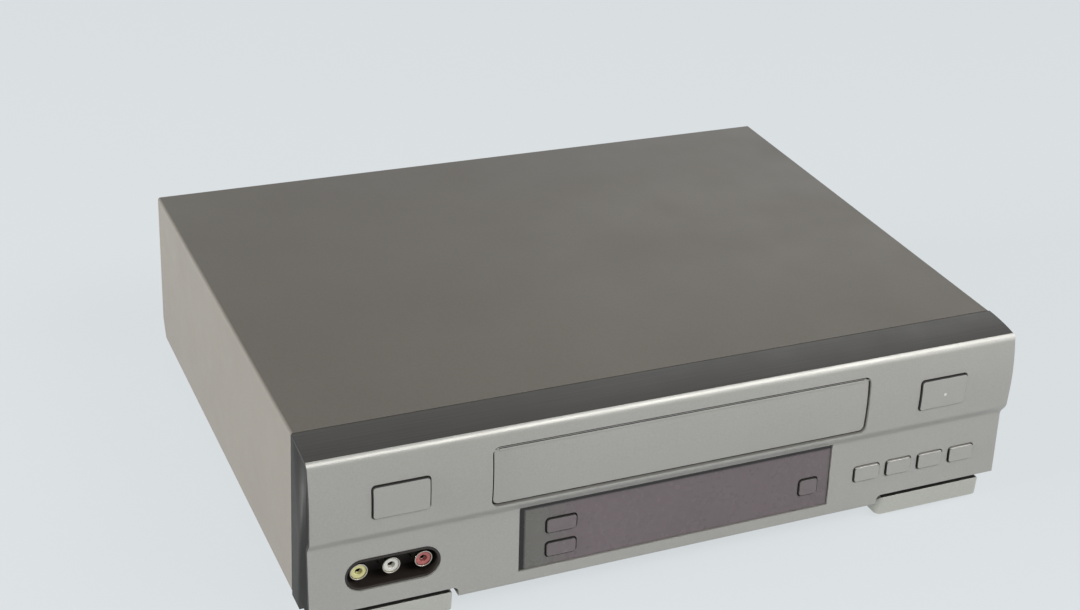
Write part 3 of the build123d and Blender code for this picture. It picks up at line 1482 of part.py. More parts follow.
def make_carrier():
    """The cassette carrier: two side channels joined by a top bridge, with stops and pins."""
    carrier = block(
        -carrier_outer_x, carrier_outer_x, carrier_rear_y - carrier_bridge, carrier_rear_y,
        carrier_top, carrier_top + carrier_sheet,
    )
    for side in (-1, 1):
        wall = block(
            carrier_inner_x, carrier_outer_x, carrier_front_y, carrier_rear_y,
            carrier_floor_top - carrier_sheet, carrier_top + carrier_sheet,
        )
        ledge = block(
            carrier_inner_x - carrier_ledge, carrier_outer_x, carrier_front_y, carrier_rear_y,
            carrier_floor_top - carrier_sheet, carrier_floor_top,
        )
        stop = block(
            carrier_inner_x - carrier_ledge / 2, carrier_inner_x + 0.1,
            carrier_rear_y - carrier_sheet, carrier_rear_y,
            carrier_floor_top, carrier_floor_top + cassette_height / 2,
        )
        half = wall + ledge + stop
        for y in pin_places:
            half += rod_x(carrier_outer_x - 0.2, rack_outer_x - 0.2, y, carrier_pin_z, pin_radius)
        carrier += half if side > 0 else mirror(half, about=Plane.YZ)
    return carrier


# ---------------------------------------------------------------- the nodes
nodes = {
    "top_cover": make_top_cover(),
    "base_tray": make_base_tray(),
    "rear_panel": make_rear_panel(),
    "front_panel": make_front_panel(),
    "front_top_trim": make_top_strip(),
    "display_window": make_window(),
    "front_feet": make_front_feet(),
    "rubber_feet": make_rubber_feet(),
    "case_screws": make_case_screws(),
    "cassette_door": make_door(),
    "door_spring": make_door_spring(),
    "jack_housings": make_jack_housings(),
    "power_inlet": make_power_inlet(),
    "tuner": make_tuner(),
    "front_board": make_front_board(),
    "key_switches": make_key_switches(),
    "display_tube": make_display_tube(),
    "main_board": make_main_board(),
    "board_parts": make_board_parts(),
    "power_transformer": make_power_transformer(),
    "heat_sink": make_heat_sink(),
    "deck_plate": make_deck_plate(),
    "lower_drum": make_lower_drum(),
    "upper_drum": make_upper_drum(),
    "drum_rotor": make_drum_rotor(),
    "motor_stators": make_motor_stators(),
    "capstan_flywheel": make_capstan(),
    "bearing_bushes": make_bushes(),
    "clutch_pulley": make_clutch(),
    "reel_belt": make_belt(),
    "idler_arm": make_idler_arm(),
    "idler_wheel": make_idler_wheel(),
    "pinch_arm": make_pinch_arm(),
    "pinch_roller": make_pinch_roller(),
    "tension_arm": make_tension_arm(),
    "cam_gear": make_cam_gear(),
    "loading_pinion": make_loading_pinion(),
    "loading_motor": make_loading_motor(),
    "tape_heads": make_tape_heads(),
    "carrier_frame": make_carrier_frame(),
    "carrier_racks": make_carrier_racks(),
    "carrier_pinion": make_carrier_pinion(),
    "cassette_carrier": make_carrier(),
}
for button_name in button_places:
    nodes[button_name] = push_button(button_name)
for reel_name, reel_x in reel_places.items():
    nodes[reel_name] = make_reel_table(reel_x)
for guide_name, (guide_side, guide_x, guide_x_end) in guide_ends.items():
    nodes[guide_name] = make_guide(guide_side, guide_x)

jack_spots = [(x, z, jack_floor_y, -1) for x, z in front_jack_places()]
jack_spots += [(x, z, rear_face_y, 1) for x, z in rear_jack_places]
nodes["jack_shells"] = Compound(children=[jack_barrel(*spot) for spot in jack_spots])
for colour_place, colour in enumerate(jack_colours):
    inserts = [jack_insert(*spot) for spot in jack_spots[colour_place :: len(jack_colours)]]
    nodes[f"{colour}_jack_inserts"] = Compound(children=inserts)

for node_name, shape in nodes.items():
    export_step(shape, f"parts/{node_name}.step")
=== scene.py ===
"""Dresses a video cassette recorder: a folded steel case, a silver moulded front and the tape deck inside.

Sizes are in millimetres and become metres where a mesh is written. X runs to the right,
Y to the rear and Z up, as in the frame that the script loads.
"""

import sys
import logging
import math
from dataclasses import dataclass, field, replace
from enum import Enum
from typing import Any, Callable, ClassVar, Iterable, Sequence

import bmesh
import bpy
from mathutils import Euler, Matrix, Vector


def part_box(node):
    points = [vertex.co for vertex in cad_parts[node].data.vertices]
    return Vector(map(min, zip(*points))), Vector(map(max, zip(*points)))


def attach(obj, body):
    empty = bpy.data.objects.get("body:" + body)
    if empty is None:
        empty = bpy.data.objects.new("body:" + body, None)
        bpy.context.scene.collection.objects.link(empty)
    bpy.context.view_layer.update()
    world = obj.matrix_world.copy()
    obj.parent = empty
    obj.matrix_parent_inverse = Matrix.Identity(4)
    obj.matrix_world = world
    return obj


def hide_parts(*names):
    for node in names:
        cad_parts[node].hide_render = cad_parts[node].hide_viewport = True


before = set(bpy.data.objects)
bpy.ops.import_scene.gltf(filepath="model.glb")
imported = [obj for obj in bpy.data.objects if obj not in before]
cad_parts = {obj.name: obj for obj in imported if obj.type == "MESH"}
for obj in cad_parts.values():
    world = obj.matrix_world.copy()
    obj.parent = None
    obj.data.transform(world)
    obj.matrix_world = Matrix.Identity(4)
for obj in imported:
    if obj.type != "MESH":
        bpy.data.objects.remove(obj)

LOG = logging.getLogger("recorder")
MM = 0.001
BACKGROUND = "#dadfe2"
# Share of a noise pattern's range that holds nearly all of its values.
NOISE_LOW, NOISE_HIGH = 0.3, 0.7
# Y between which the front's openings are cut.
CUT_FRONT, CUT_BACK = -142.0, -126.0

Point = tuple[float, float]
Place = tuple[float, float, float]


# ---------------------------------------------------------------- small helpers
def linear(code: str) -> tuple[float, float, float, float]:
    """Turns an sRGB hex colour into linear light.

    Args:
        code: the colour as "#rrggbb".

    Returns:
        Red, green, blue and an alpha of 1.
    """
    shares = [int(code[at:at + 2], 16) / 255 for at in (1, 3, 5)]
    red, green, blue = (
        share / 12.92 if share <= 0.04045 else ((share + 0.055) / 1.055) ** 2.4 for share in shares
    )
    return red, green, blue, 1.0


def add_node(
    tree: bpy.types.NodeTree,
    kind: str,
    settings: dict[str, Any] | None = None,
    inputs: dict[Any, Any] | None = None,
) -> bpy.types.NodeOutputs:
    """Adds a node with its settings, values and links.

    Args:
        tree: the node tree that gets it.
        kind: Blender's name of the node's type.
        settings: properties of the node.
        inputs: for each input, by name or number, a value, another node's socket to link, or a
            list of such sockets.

    Returns:
        The new node's outputs.
    """
    node = tree.nodes.new(kind)
    for key, value in (settings or {}).items():
        setattr(node, key, value)
    for key, value in (inputs or {}).items():
        for source in value if isinstance(value, list) else [value]:
            if isinstance(source, bpy.types.NodeSocket):
                tree.links.new(source, node.inputs[key])
            else:
                node.inputs[key].default_value = source
    return node.outputs


def new_object(name: str, mesh: bpy.types.Mesh) -> bpy.types.Object:
    """Links a mesh into the scene.

    Args:
        name: the new object's name.
        mesh: what it shows.

    Returns:
        The object, at the origin.
    """
    piece = bpy.data.objects.new(name, mesh)
    bpy.context.scene.collection.objects.link(piece)
    return piece


def mesh_piece(name: str, corners: Iterable[Place], faces: Iterable[Sequence[int]]) -> bpy.types.Object:
    """Makes an object from corners in millimetres and faces.

    Args:
        name: the object's name.
        corners: the corners' places.
        faces: the corners' numbers, face by face.

    Returns:
        The object, its faces pointing outwards.
    """
    mesh = bpy.data.meshes.new(name)
    mesh.from_pydata([[value * MM for value in corner] for corner in corners], [], list(faces))
    form = bmesh.new()
    form.from_mesh(mesh)
    bmesh.ops.recalc_face_normals(form, faces=form.faces)
    form.to_mesh(mesh)
    form.free()
    return new_object(name, mesh)


def prism(
    name: str, outline: Sequence[Point], low: float, high: float, place: Callable[[Point, float], Place]
) -> bpy.types.Object:
    """Makes a closed prism.

    Args:
        name: the object's name.
        outline: its closed outline, in two coordinates.
        low: where it starts along its axis.
        high: where it ends.
        place: turns a point of the outline and a distance along the axis into X, Y and Z.

    Returns:
        The prism.
    """
    count = len(outline)
    corners = [place(point, level) for level in (low, high) for point in outline]
    sides = [(at, (at + 1) % count, count + (at + 1) % count, count + at) for at in range(count)]
    caps = [tuple(range(count)), tuple(range(count, 2 * count))]
    return mesh_piece(name, corners, sides + caps)


def along_x(point: Point, level: float) -> Place:
    """An outline in Y and Z, pushed along X."""
    return level, point[0], point[1]


def along_y(point: Point, level: float) -> Place:
    """An outline in X and Z, pushed along Y."""
    return point[0], level, point[1]


def rounded_outline(centre: Point, size: Point, radius: float, steps: int = 8) -> list[Point]:
    """The outline of a rectangle with rounded corners.

    Args:
        centre: its middle.
        size: its width and height.
        radius: of its corners.
        steps: divisions of each corner.

    Returns:
        The outline, anticlockwise.
    """
    half_u, half_v = size[0] / 2 - radius, size[1] / 2 - radius
    points = []
    for quarter, (su, sv) in enumerate(((1, 1), (-1, 1), (-1, -1), (1, -1))):
        for step in range(steps + 1):
            turn = math.radians(90 * (quarter + step / steps))
            points.append((
                centre[0] + su * half_u + radius * math.cos(turn),
                centre[1] + sv * half_v + radius * math.sin(turn),
            ))
    return points


def arc(start: Point, end: Point, centre: Point, steps: int) -> list[Point]:
    """Points on the short arc between two points.

    Args:
        start: the first point.
        end: the last one.
        centre: of the arc.
        steps: divisions of the arc.

    Returns:
        The points, both ends among them.
    """
    radius = math.hypot(start[0] - centre[0], start[1] - centre[1])
    first = math.atan2(start[1] - centre[1], start[0] - centre[0])
    sweep = math.atan2(end[1] - centre[1], end[0] - centre[0]) - first
    sweep = (sweep + math.pi) % (2 * math.pi) - math.pi
    return [
        (centre[0] + radius * math.cos(first + sweep * step / steps),
         centre[1] + radius * math.sin(first + sweep * step / steps))
        for step in range(steps + 1)
    ]


def settle(piece: bpy.types.Object) -> bpy.types.Object:
    """Turns what a piece's modifiers make into its plain mesh.

    Args:
        piece: the piece.

    Returns:
        The piece, without modifiers.
    """
    graph = bpy.context.evaluated_depsgraph_get()
    mesh = bpy.data.meshes.new_from_object(piece.evaluated_get(graph))
    piece.modifiers.clear()
    piece.data = mesh
    return piece


def combine(
    piece: bpy.types.Object, others: Iterable[bpy.types.Object], operation: str = "DIFFERENCE"
) -> bpy.types.Object:
    """Cuts other solids from a piece, or keeps what they share, and removes them.

    Args:
        piece: the solid that stays.
        others: the solids that are used up.
        operation: DIFFERENCE, INTERSECT or UNION.

    Returns:
        The changed piece.
    """
    tools = list(others)
    for tool in tools:
        step = piece.modifiers.new("combine", "BOOLEAN")
        step.operation = operation
        step.solver = "EXACT"
        step.object = tool
    settle(piece)
    for tool in tools:
        bpy.data.objects.remove(tool)
    return piece


def join(pieces: Sequence[bpy.types.Object]) -> bpy.types.Object:
    """Puts several meshes together.

    Args:
        pieces: the objects; all but the first are removed.

    Returns:
        The first one, which now holds all the meshes.
    """
    form = bmesh.new()
    for piece in pieces:
        form.from_mesh(piece.data)
    form.to_mesh(pieces[0].data)
    form.free()
    for piece in pieces[1:]:
        bpy.data.objects.remove(piece)
    return pieces[0]


def soften(piece: bpy.types.Object, width: float, segments: int = 2, angle: float = 35.0) -> bpy.types.Object:
    """Breaks a piece's sharp edges as a mould or a press does.

    Args:
        piece: the piece.
        width: of the rounding, in millimetres.
        segments: faces across it.
        angle: edges that turn by less than this, in degrees, stay.

    Returns:
        The piece, smooth-shaded apart from any edge that is still sharp.
    """
    edge = piece.modifiers.new("edge", "BEVEL")
    edge.width = width * MM
    edge.segments = segments
    edge.limit_method = "ANGLE"
    edge.angle_limit = math.radians(angle)
    edge.use_clamp_overlap = True
    piece.data.shade_smooth()
    return shade(settle(piece))


def shade(piece: bpy.types.Object, angle: float = 48.0) -> bpy.types.Object:
    """Shades a piece smooth, its large faces true.

    Args:
        piece: the piece.
        angle: edges that turn by more than this, in degrees, stay sharp.

    Returns:
        The piece.
    """
    piece.data.shade_smooth()
    piece.data.set_sharp_from_angle(angle=math.radians(angle))
    normals = piece.modifiers.new("normals", "WEIGHTED_NORMAL")
    normals.mode = "FACE_AREA"
    normals.weight = 60
    normals.keep_sharp = True
    return settle(piece)


def cad_copy(node: str, name: str, flat_angle: float = 0.4) -> bpy.types.Object:
    """A merged copy of a CAD node, its flat faces joined, ready to be changed.

    Args:
        node: the CAD node.
        name: the copy's name.
        flat_angle: faces that turn by less than this, in degrees, are joined.

    Returns:
        The copy.
    """
    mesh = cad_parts[node].data.copy()
    mesh.name = name
    mesh.materials.clear()
    form = bmesh.new()
    form.from_mesh(mesh)
    bmesh.ops.remove_doubles(form, verts=form.verts, dist=0.004 * MM)
    bmesh.ops.dissolve_limit(
        form, angle_limit=math.radians(flat_angle), verts=form.verts, edges=form.edges, delimit={"NORMAL"}
    )
    for edge in form.edges:
        edge.smooth = True
    form.to_mesh(mesh)
    form.free()
    for name_of in ("custom_normal", "sharp_edge", "sharp_face"):
        if name_of in mesh.attributes:
            mesh.attributes.remove(mesh.attributes[name_of])
    return new_object(name, mesh)


# ---------------------------------------------------------------- geometry nodes
class Rule:
    """A Geometry Nodes tree with named inputs, whose result is kept as a plain mesh."""

    KINDS: ClassVar[dict[type, str]] = {
        float: "NodeSocketFloat", int: "NodeSocketInt", tuple: "NodeSocketVector",
        bpy.types.Material: "NodeSocketMaterial",
    }

    def __init__(self, title: str, sizes: dict[str, Any]) -> None:
        """Starts a tree.

        Args:
            title: its name.
            sizes: its inputs and their values; lengths are in metres.
        """
        self.sizes = sizes
        self.tree = bpy.data.node_groups.new(title, "GeometryNodeTree")
        self.tree.interface.new_socket("Geometry", in_out="INPUT", socket_type="NodeSocketGeometry")
        for name, value in sizes.items():
            self.tree.interface.new_socket(name, in_out="INPUT", socket_type=self.KINDS[type(value)])
        self.tree.interface.new_socket("Geometry", in_out="OUTPUT", socket_type="NodeSocketGeometry")
        self.inputs = add_node(self.tree, "NodeGroupInput")

    def finish(self, result: bpy.types.NodeSocket) -> None:
        """Ends the tree in Realize Instances and Set Material.

        Args:
            result: what the tree has made.
        """
        real = add_node(self.tree, "GeometryNodeRealizeInstances", None, {0: result})[0]
        dressed = add_node(
            self.tree, "GeometryNodeSetMaterial", None,
            {"Geometry": real, "Material": self.inputs["Material"]},
        )[0]
        add_node(self.tree, "NodeGroupOutput", None, {"Geometry": dressed})

    def make(
        self, name: str, corners: Sequence[Place], edges: Sequence[tuple[int, int]] = ()
    ) -> bpy.types.Object:
        """Runs the tree on points or lines.

        Args:
            name: the new object's name.
            corners: the points, in millimetres.
            edges: pairs of them that a line joins.

        Returns:
            An object with a plain mesh and no modifier.
        """
        mesh = bpy.data.meshes.new(name)
        mesh.from_pydata([[value * MM for value in corner] for corner in corners], list(edges), [])
        piece = new_object(name, mesh)
        rule = piece.modifiers.new("rule", "NODES")
        rule.node_group = self.tree
        for socket in self.tree.interface.items_tree:
            if socket.in_out == "INPUT" and socket.name in self.sizes:
                rule[socket.identifier] = self.sizes[socket.name]
        return settle(piece)


def screw_rule(turn: Place, finish: "Finish") -> Rule:
    """Cross-head screws, one on each point.

    Args:
        turn: how a screw that points up is turned, in radians.
        finish: what they are made of.

    Returns:
        The tree.
    """
    rule = Rule("pan_head_screws", {
        "Head Radius": 3.0 * MM, "Head Height": 1.8 * MM, "Rim Share": 0.45, "Crown Share": 0.68,
        "Shank Radius": 1.45 * MM, "Shank Length": 6.0 * MM,
        "Slot Width": 0.65 * MM, "Slot Depth": 1.0 * MM, "Slot Share": 1.15,
        "Turn": turn, "Material": finish.material(),
    })
    tree, size = rule.tree, rule.inputs
    rim_height, crown_radius, slot_length, slot_height = (
        add_node(tree, "ShaderNodeMath", {"operation": "MULTIPLY"}, {0: first, 1: second})[0]
        for first, second in (
            (size["Head Height"], size["Rim Share"]), (size["Head Radius"], size["Crown Share"]),
            (size["Head Radius"], size["Slot Share"]), (size["Slot Depth"], 2.0),
        )
    )
    crown_height = add_node(
        tree, "ShaderNodeMath", {"operation": "SUBTRACT"}, {0: size["Head Height"], 1: rim_height}
    )[0]
    slots = [
        add_node(tree, "ShaderNodeCombineXYZ", None, {"X": x, "Y": y, "Z": slot_height})[0]
        for x, y in ((slot_length, size["Slot Width"]), (size["Slot Width"], slot_length))
    ]
    solids = []
    for kind, values, height, share in (
        ("Cylinder", {"Vertices": 40, "Radius": size["Head Radius"], "Depth": rim_height}, rim_height, -0.5),
        ("Cone", {"Vertices": 40, "Side Segments": 1, "Radius Top": size["Head Radius"],
                  "Radius Bottom": crown_radius, "Depth": crown_height}, size["Head Height"], -1.0),
        ("Cylinder", {"Vertices": 24, "Radius": size["Shank Radius"], "Depth": size["Shank Length"]},
         size["Shank Length"], 0.5),
        ("Cube", {"Size": slots[0]}, size["Head Height"], -1.0),
        ("Cube", {"Size": slots[1]}, size["Head Height"], -1.0),
    ):
        solid = add_node(tree, f"GeometryNodeMesh{kind}", None, values)[0]
        level = add_node(tree, "ShaderNodeMath", {"operation": "MULTIPLY"}, {0: height, 1: share})[0]
        shift = add_node(tree, "ShaderNodeCombineXYZ", None, {"Z": level})[0]
        solids.append(
            add_node(tree, "GeometryNodeTransform", None, {"Geometry": solid, "Translation": shift})[0]
        )
    whole = add_node(tree, "GeometryNodeMeshBoolean", {"operation": "UNION"}, {"Mesh 2": solids[:3]})[0]
    screw = add_node(
        tree, "GeometryNodeMeshBoolean", {"operation": "DIFFERENCE"}, {"Mesh 1": whole, "Mesh 2": solids[3:]}
    )[0]
    rule.finish(add_node(tree, "GeometryNodeInstanceOnPoints", None, {
        "Points": size["Geometry"], "Instance": screw, "Rotation": size["Turn"],
    })[0])
    return rule


def ring_rule(outer: float, bore: float, length: float, edge: float, finish: "Finish") -> Rule:
    """Turned rings along Y, one on each point, which is the middle of the ring's front end.

    Args:
        outer: the ring's radius, in millimetres.
        bore: radius of its bore.
        length: along Y.
        edge: rounding of its edges.
        finish: what they are made of.

    Returns:
        The tree.
    """
    rule = Rule("turned_rings", {
        "Outer Radius": outer * MM, "Bore": bore * MM, "Length": length * MM, "Edge": edge * MM,
        "Material": finish.material(),
    })
    tree, size = rule.tree, rule.inputs
    radii = {0: size["Outer Radius"], 1: size["Bore"]}
    wall, both = (
        add_node(tree, "ShaderNodeMath", {"operation": operation}, radii)[0]
        for operation in ("SUBTRACT", "ADD")
    )
    middle, half_length = (
        add_node(tree, "ShaderNodeMath", {"operation": "MULTIPLY"}, {0: whole, 1: 0.5})[0]
        for whole in (both, size["Length"])
    )
    section = add_node(
        tree, "GeometryNodeCurvePrimitiveQuadrilateral", {"mode": "RECTANGLE"},
        {"Width": wall, "Height": size["Length"]},
    )[0]
    rounded = add_node(
        tree, "GeometryNodeFilletCurve", {"mode": "POLY"},
        {"Curve": section, "Count": 4, "Radius": size["Edge"]},
    )[0]
    circle = add_node(
        tree, "GeometryNodeCurvePrimitiveCircle", {"mode": "RADIUS"}, {"Resolution": 56, "Radius": middle}
    )[0]
    ring = add_node(tree, "GeometryNodeCurveToMesh", None, {"Curve": circle, "Profile Curve": rounded})[0]
    shift = add_node(tree, "ShaderNodeCombineXYZ", None, {"Y": half_length})[0]
    upright = add_node(tree, "GeometryNodeTransform", None, {
        "Geometry": ring, "Translation": shift, "Rotation": (math.radians(90), 0.0, 0.0),
    })[0]
    rule.finish(add_node(
        tree, "GeometryNodeInstanceOnPoints", None, {"Points": size["Geometry"], "Instance": upright}
    )[0])
    return rule


def fold_rule(sheet: float, bend: float, length: float, finish: "Finish") -> Rule:
    """A sheet folded along a line and drawn out along Y, whose inner side is the line's right.

    Args:
        sheet: its thickness, in millimetres.
        bend: outer radius of its folds.
        length: along Y.
        finish: what it is made of.

    Returns:
        The tree.
    """
    rule = Rule("folded_sheet", {
        "Bend Radius": bend * MM, "Bend Steps": 6, "Length": length * MM, "Sheet": sheet * MM,
        "Material": finish.material(),
    })
    tree, size = rule.tree, rule.inputs
    line = add_node(tree, "GeometryNodeMeshToCurve", None, {"Mesh": size["Geometry"]})[0]
    bent = add_node(
        tree, "GeometryNodeFilletCurve", {"mode": "POLY"},
        {"Curve": line, "Count": size["Bend Steps"], "Radius": size["Bend Radius"]},
    )[0]
    edge = add_node(tree, "GeometryNodeCurveToMesh", None, {"Curve": bent})[0]
    rearwards = add_node(tree, "ShaderNodeCombineXYZ", None, {"Y": 1.0})[0]
    skin = add_node(
        tree, "GeometryNodeExtrudeMesh", {"mode": "EDGES"},
        {"Mesh": edge, "Offset": rearwards, "Offset Scale": size["Length"]},
    )[0]
    thick = add_node(
        tree, "GeometryNodeExtrudeMesh", {"mode": "FACES"},
        {"Mesh": skin, "Offset Scale": size["Sheet"], "Individual": False},
    )[0]
    solid = add_node(tree, "GeometryNodeJoinGeometry", None, {0: [thick, skin]})[0]
    rule.finish(add_node(
        tree, "GeometryNodeMergeByDistance", None, {"Geometry": solid, "Distance": 0.01 * MM}
    )[0])
    return rule


# ---------------------------------------------------------------- finishes
class Grain(Enum):
    """How a surface was made, which sets the pattern that the eye finds on it."""

    SPRAYED = "orange peel of a sprayed or baked coat"
    MOULDED = "fine spark-eroded texture of a mould"
    HAIRLINE = "long streaks along X"
    ROLLED = "faint cloudy bands of rolled and plated sheet"
    TURNED = "fine rings left by a lathe"
    CAST = "coarse pits of a casting or a pressed powder"


@dataclass(frozen=True)
class Finish:
    """One material: its colour, its gloss and the fine surface that shows what it is.

    Attributes:
        title: its name in the file.
        colour: its main colour.
        shade: the colour that its mottling leans to.
        grain: how its surface was made.
        pitch: spacing of that surface, in millimetres.
        depth: height of that surface, in millimetres.
        roughness: its mean roughness.
        metallic: 1 for bare metal, a small share for paint with metal flake.
        ior: of a plastic, paint or glass; a metal keeps the default.
        mottle: size of the slow changes in colour, in millimetres.
        contrast: how far the mottling goes towards the shade.
        fleck: share of the fine speckle in the colour.
        coat: a clear layer over it.
        coat_roughness: of that layer.
        smudge: how much handling and dust change the gloss from place to place.
        mark: X and Z of a printed dot on the front, in millimetres, or none.
        painted_shadow_edge: X and Z beyond which shadow is painted, near black, to the left and upwards, with
            a grey painted reflection over the left end, in millimetres, or none.
    """

    title: str
    colour: str
    shade: str
    grain: Grain
    pitch: float
    depth: float
    roughness: float
    metallic: float = 0.0
    ior: float = 1.5
    mottle: float = 45.0
    contrast: float = 0.5
    fleck: float = 0.15
    coat: float = 0.0
    coat_roughness: float = 0.1
    smudge: float = 0.04
    mark: Point | None = None
    painted_shadow_edge: Point | None = None
    made: ClassVar[dict[str, bpy.types.Material]] = {}

    def pattern(self, tree: bpy.types.NodeTree, place: bpy.types.NodeSocket) -> bpy.types.NodeSocket:
        """Builds the fine surface.

        Args:
            tree: the material's node tree.
            place: object coordinates in metres.

        Returns:
            A value from 0 to 1 that carries the surface's height.
        """
        per_metre = 1 / (self.pitch * MM)
        stretch = {
            Grain.HAIRLINE: (0.004, 1.0, 1.0),
            Grain.ROLLED: (0.15, 1.0, 1.0),
        }.get(self.grain, (1.0, 1.0, 1.0))
        along = add_node(tree, "ShaderNodeMapping", inputs={"Vector": place, "Scale": stretch})[0]
        if self.grain is Grain.TURNED:
            return add_node(
                tree, "ShaderNodeTexWave", {"wave_type": "RINGS", "rings_direction": "SPHERICAL"},
                {"Vector": along, "Scale": per_metre / 6, "Distortion": 1.5, "Detail": 2.0},
            )["Fac"]
        if self.grain is Grain.CAST:
            return add_node(
                tree, "ShaderNodeTexVoronoi", {"feature": "SMOOTH_F1"},
                {"Vector": along, "Scale": per_metre, "Smoothness": 0.6},
            )["Distance"]
        detail = {Grain.SPRAYED: 1.0, Grain.MOULDED: 3.0}.get(self.grain, 4.0)
        return add_node(
            tree, "ShaderNodeTexNoise", None,
            {"Vector": along, "Scale": per_metre, "Detail": detail, "Roughness": 0.55},
        )["Fac"]

    def tint(
        self, tree: bpy.types.NodeTree, place: bpy.types.NodeSocket, fine: bpy.types.NodeSocket
    ) -> bpy.types.NodeSocket:
        """Mixes the colour from slow mottling and fine speckle.

        Args:
            tree: the material's node tree.
            place: object coordinates in metres.
            fine: the fine surface's height.

        Returns:
            The colour's socket.
        """
        slow = add_node(
            tree, "ShaderNodeTexNoise", None,
            {"Vector": place, "Scale": 1 / (self.mottle * MM), "Detail": 2.0, "Roughness": 0.5},
        )["Fac"]
        share, spot = (
            add_node(tree, "ShaderNodeMapRange", None, {
                "Value": value, "From Min": NOISE_LOW, "From Max": NOISE_HIGH, "To Min": low, "To Max": high,
            })[0]
            for value, low, high in ((slow, 0.0, self.contrast), (fine, 1 - self.fleck, 1 + self.fleck))
        )
        base = add_node(
            tree, "ShaderNodeMix", {"data_type": "RGBA"},
            {0: share, 6: linear(self.colour), 7: linear(self.shade)},
        )[2]
        speckled = add_node(
            tree, "ShaderNodeMix", {"data_type": "RGBA", "blend_type": "MULTIPLY"}, {0: 1.0, 6: base, 7: spot}
        )[2]
        # A window's finish gets a painted shadow along two edges and a painted reflection.
        if self.painted_shadow_edge:
            return self.paint_shadow_and_reflection(tree, place, speckled)
        return self.print_mark(tree, place, speckled) if self.mark else speckled

    def paint_shadow_and_reflection(
        self, tree: bpy.types.NodeTree, place: bpy.types.NodeSocket, base: bpy.types.NodeSocket
    ) -> bpy.types.NodeSocket:
        """Paints a near-black shadow along the left and upper edges, and a grey reflection over the left end.

        Args:
            tree: the material's node tree.
            place: object coordinates in metres.
            base: the colour under the painted shadow and reflection.

        Returns:
            The colour's socket.
        """
        axes = add_node(tree, "ShaderNodeSeparateXYZ", None, {0: place})
        # Shares of the painted shadow at the left and top edges, and of the painted reflection over the left
        # end.
        left, end, top = (
            add_node(tree, "ShaderNodeMapRange", None, {
                "Value": axes[axis], "From Min": start * MM, "From Max": stop * MM,
                "To Min": low, "To Max": high,
            })[0]
            for axis, start, stop, low, high in (
                ("X", self.painted_shadow_edge[0] - 0.6, self.painted_shadow_edge[0] + 0.6, 1.0, 0.0),
                ("X", self.painted_shadow_edge[0] + 8, self.painted_shadow_edge[0] + 24, 0.75, 0.0),
                ("Z", self.painted_shadow_edge[1] - 0.5, self.painted_shadow_edge[1] + 0.5, 0.0, 1.0),
            )
        )
        shadow_share = add_node(tree, "ShaderNodeMath", {"operation": "MAXIMUM"}, {0: left, 1: top})[0]
        # Colours of the painted reflection and of the painted shadow.
        reflection_colour, shadow_colour = linear("#6e6f68"), linear("#1c1817")
        base = add_node(tree, "ShaderNodeMix", {"data_type": "RGBA"}, {0: end, 6: base, 7: reflection_colour})[2]
        return add_node(tree, "ShaderNodeMix", {"data_type": "RGBA"}, {0: shadow_share, 6: base, 7: shadow_colour})[2]

    def print_mark(
        self, tree: bpy.types.NodeTree, place: bpy.types.NodeSocket, base: bpy.types.NodeSocket
    ) -> bpy.types.NodeSocket:
        """Prints a small white dot over the colour, where the finish has one.

        Args:
            tree: the material's node tree.
            place: object coordinates in metres.
            base: the colour under the print.

        Returns:
            The colour's socket.
        """
        flat = add_node(
            tree, "ShaderNodeVectorMath", {"operation": "MULTIPLY"}, {0: place, 1: (1.0, 0.0, 1.0)}
        )[0]
        reach = add_node(
            tree, "ShaderNodeVectorMath", {"operation": "DISTANCE"},
            {0: flat, 1: (self.mark[0] * MM, 0.0, self.mark[1] * MM)},
        )["Value"]
        ink = add_node(tree, "ShaderNodeMapRange", None, {
            "Value": reach, "From Min": 0.7 * MM, "From Max": 0.85 * MM, "To Min": 1.0, "To Max": 0.0,
        })[0]
        white = linear("#e2e2de")
        return add_node(tree, "ShaderNodeMix", {"data_type": "RGBA"}, {0: ink, 6: base, 7: white})[2]

    def material(self) -> bpy.types.Material:
        """Builds the material, once.

        Returns:
            The material, or the one already built.
        """
        if self.title in self.made:
            return self.made[self.title]
        material = bpy.data.materials.new(self.title)
        material.use_nodes = True
        tree = material.node_tree
        tree.nodes.clear()
        place = add_node(tree, "ShaderNodeTexCoord")["Object"]
        fine = self.pattern(tree, place)
        worn = add_node(
            tree, "ShaderNodeTexNoise", None,
            {"Vector": place, "Scale": 1 / (0.4 * self.mottle * MM), "Detail": 3.0, "Roughness": 0.6},
        )["Fac"]
        smudges, gloss = (
            add_node(tree, "ShaderNodeMapRange", None, {
                "Value": value, "From Min": start, "From Max": stop, "To Min": low, "To Max": high,
            })[0]
            for value, start, stop, low, high in (
                (worn, NOISE_LOW, NOISE_HIGH, self.roughness - self.smudge, self.roughness + self.smudge),
                (fine, 0.0, 1.0, -0.05, 0.05),
            )
        )
        mean = add_node(tree, "ShaderNodeMath", {"operation": "ADD"}, {0: smudges, 1: gloss})[0]
        relief = add_node(
            tree, "ShaderNodeBump", None, {"Height": fine, "Strength": 1.0, "Distance": self.depth * MM}
        )[0]
        surface = add_node(tree, "ShaderNodeBsdfPrincipled", None, {
            "Base Color": self.tint(tree, place, fine),
            "Metallic": self.metallic,
            "Roughness": mean,
            "IOR": self.ior,
            "Coat Weight": self.coat,
            "Coat Roughness": self.coat_roughness,
            "Normal": relief,
        })[0]
        add_node(tree, "ShaderNodeOutputMaterial", None, {"Surface": surface})
        self.made[self.title] = material
        return material


# Baked enamel on pressed steel: a slightly warm dark grey with fine orange peel and a soft sheen.
COVER_ENAMEL = Finish(
    "cover_enamel", "#6a655d", "#635e57", Grain.SPRAYED, 0.9, 0.012, 0.42, metallic=0.15, ior=1.45,
    fleck=0.05, mottle=90,
)
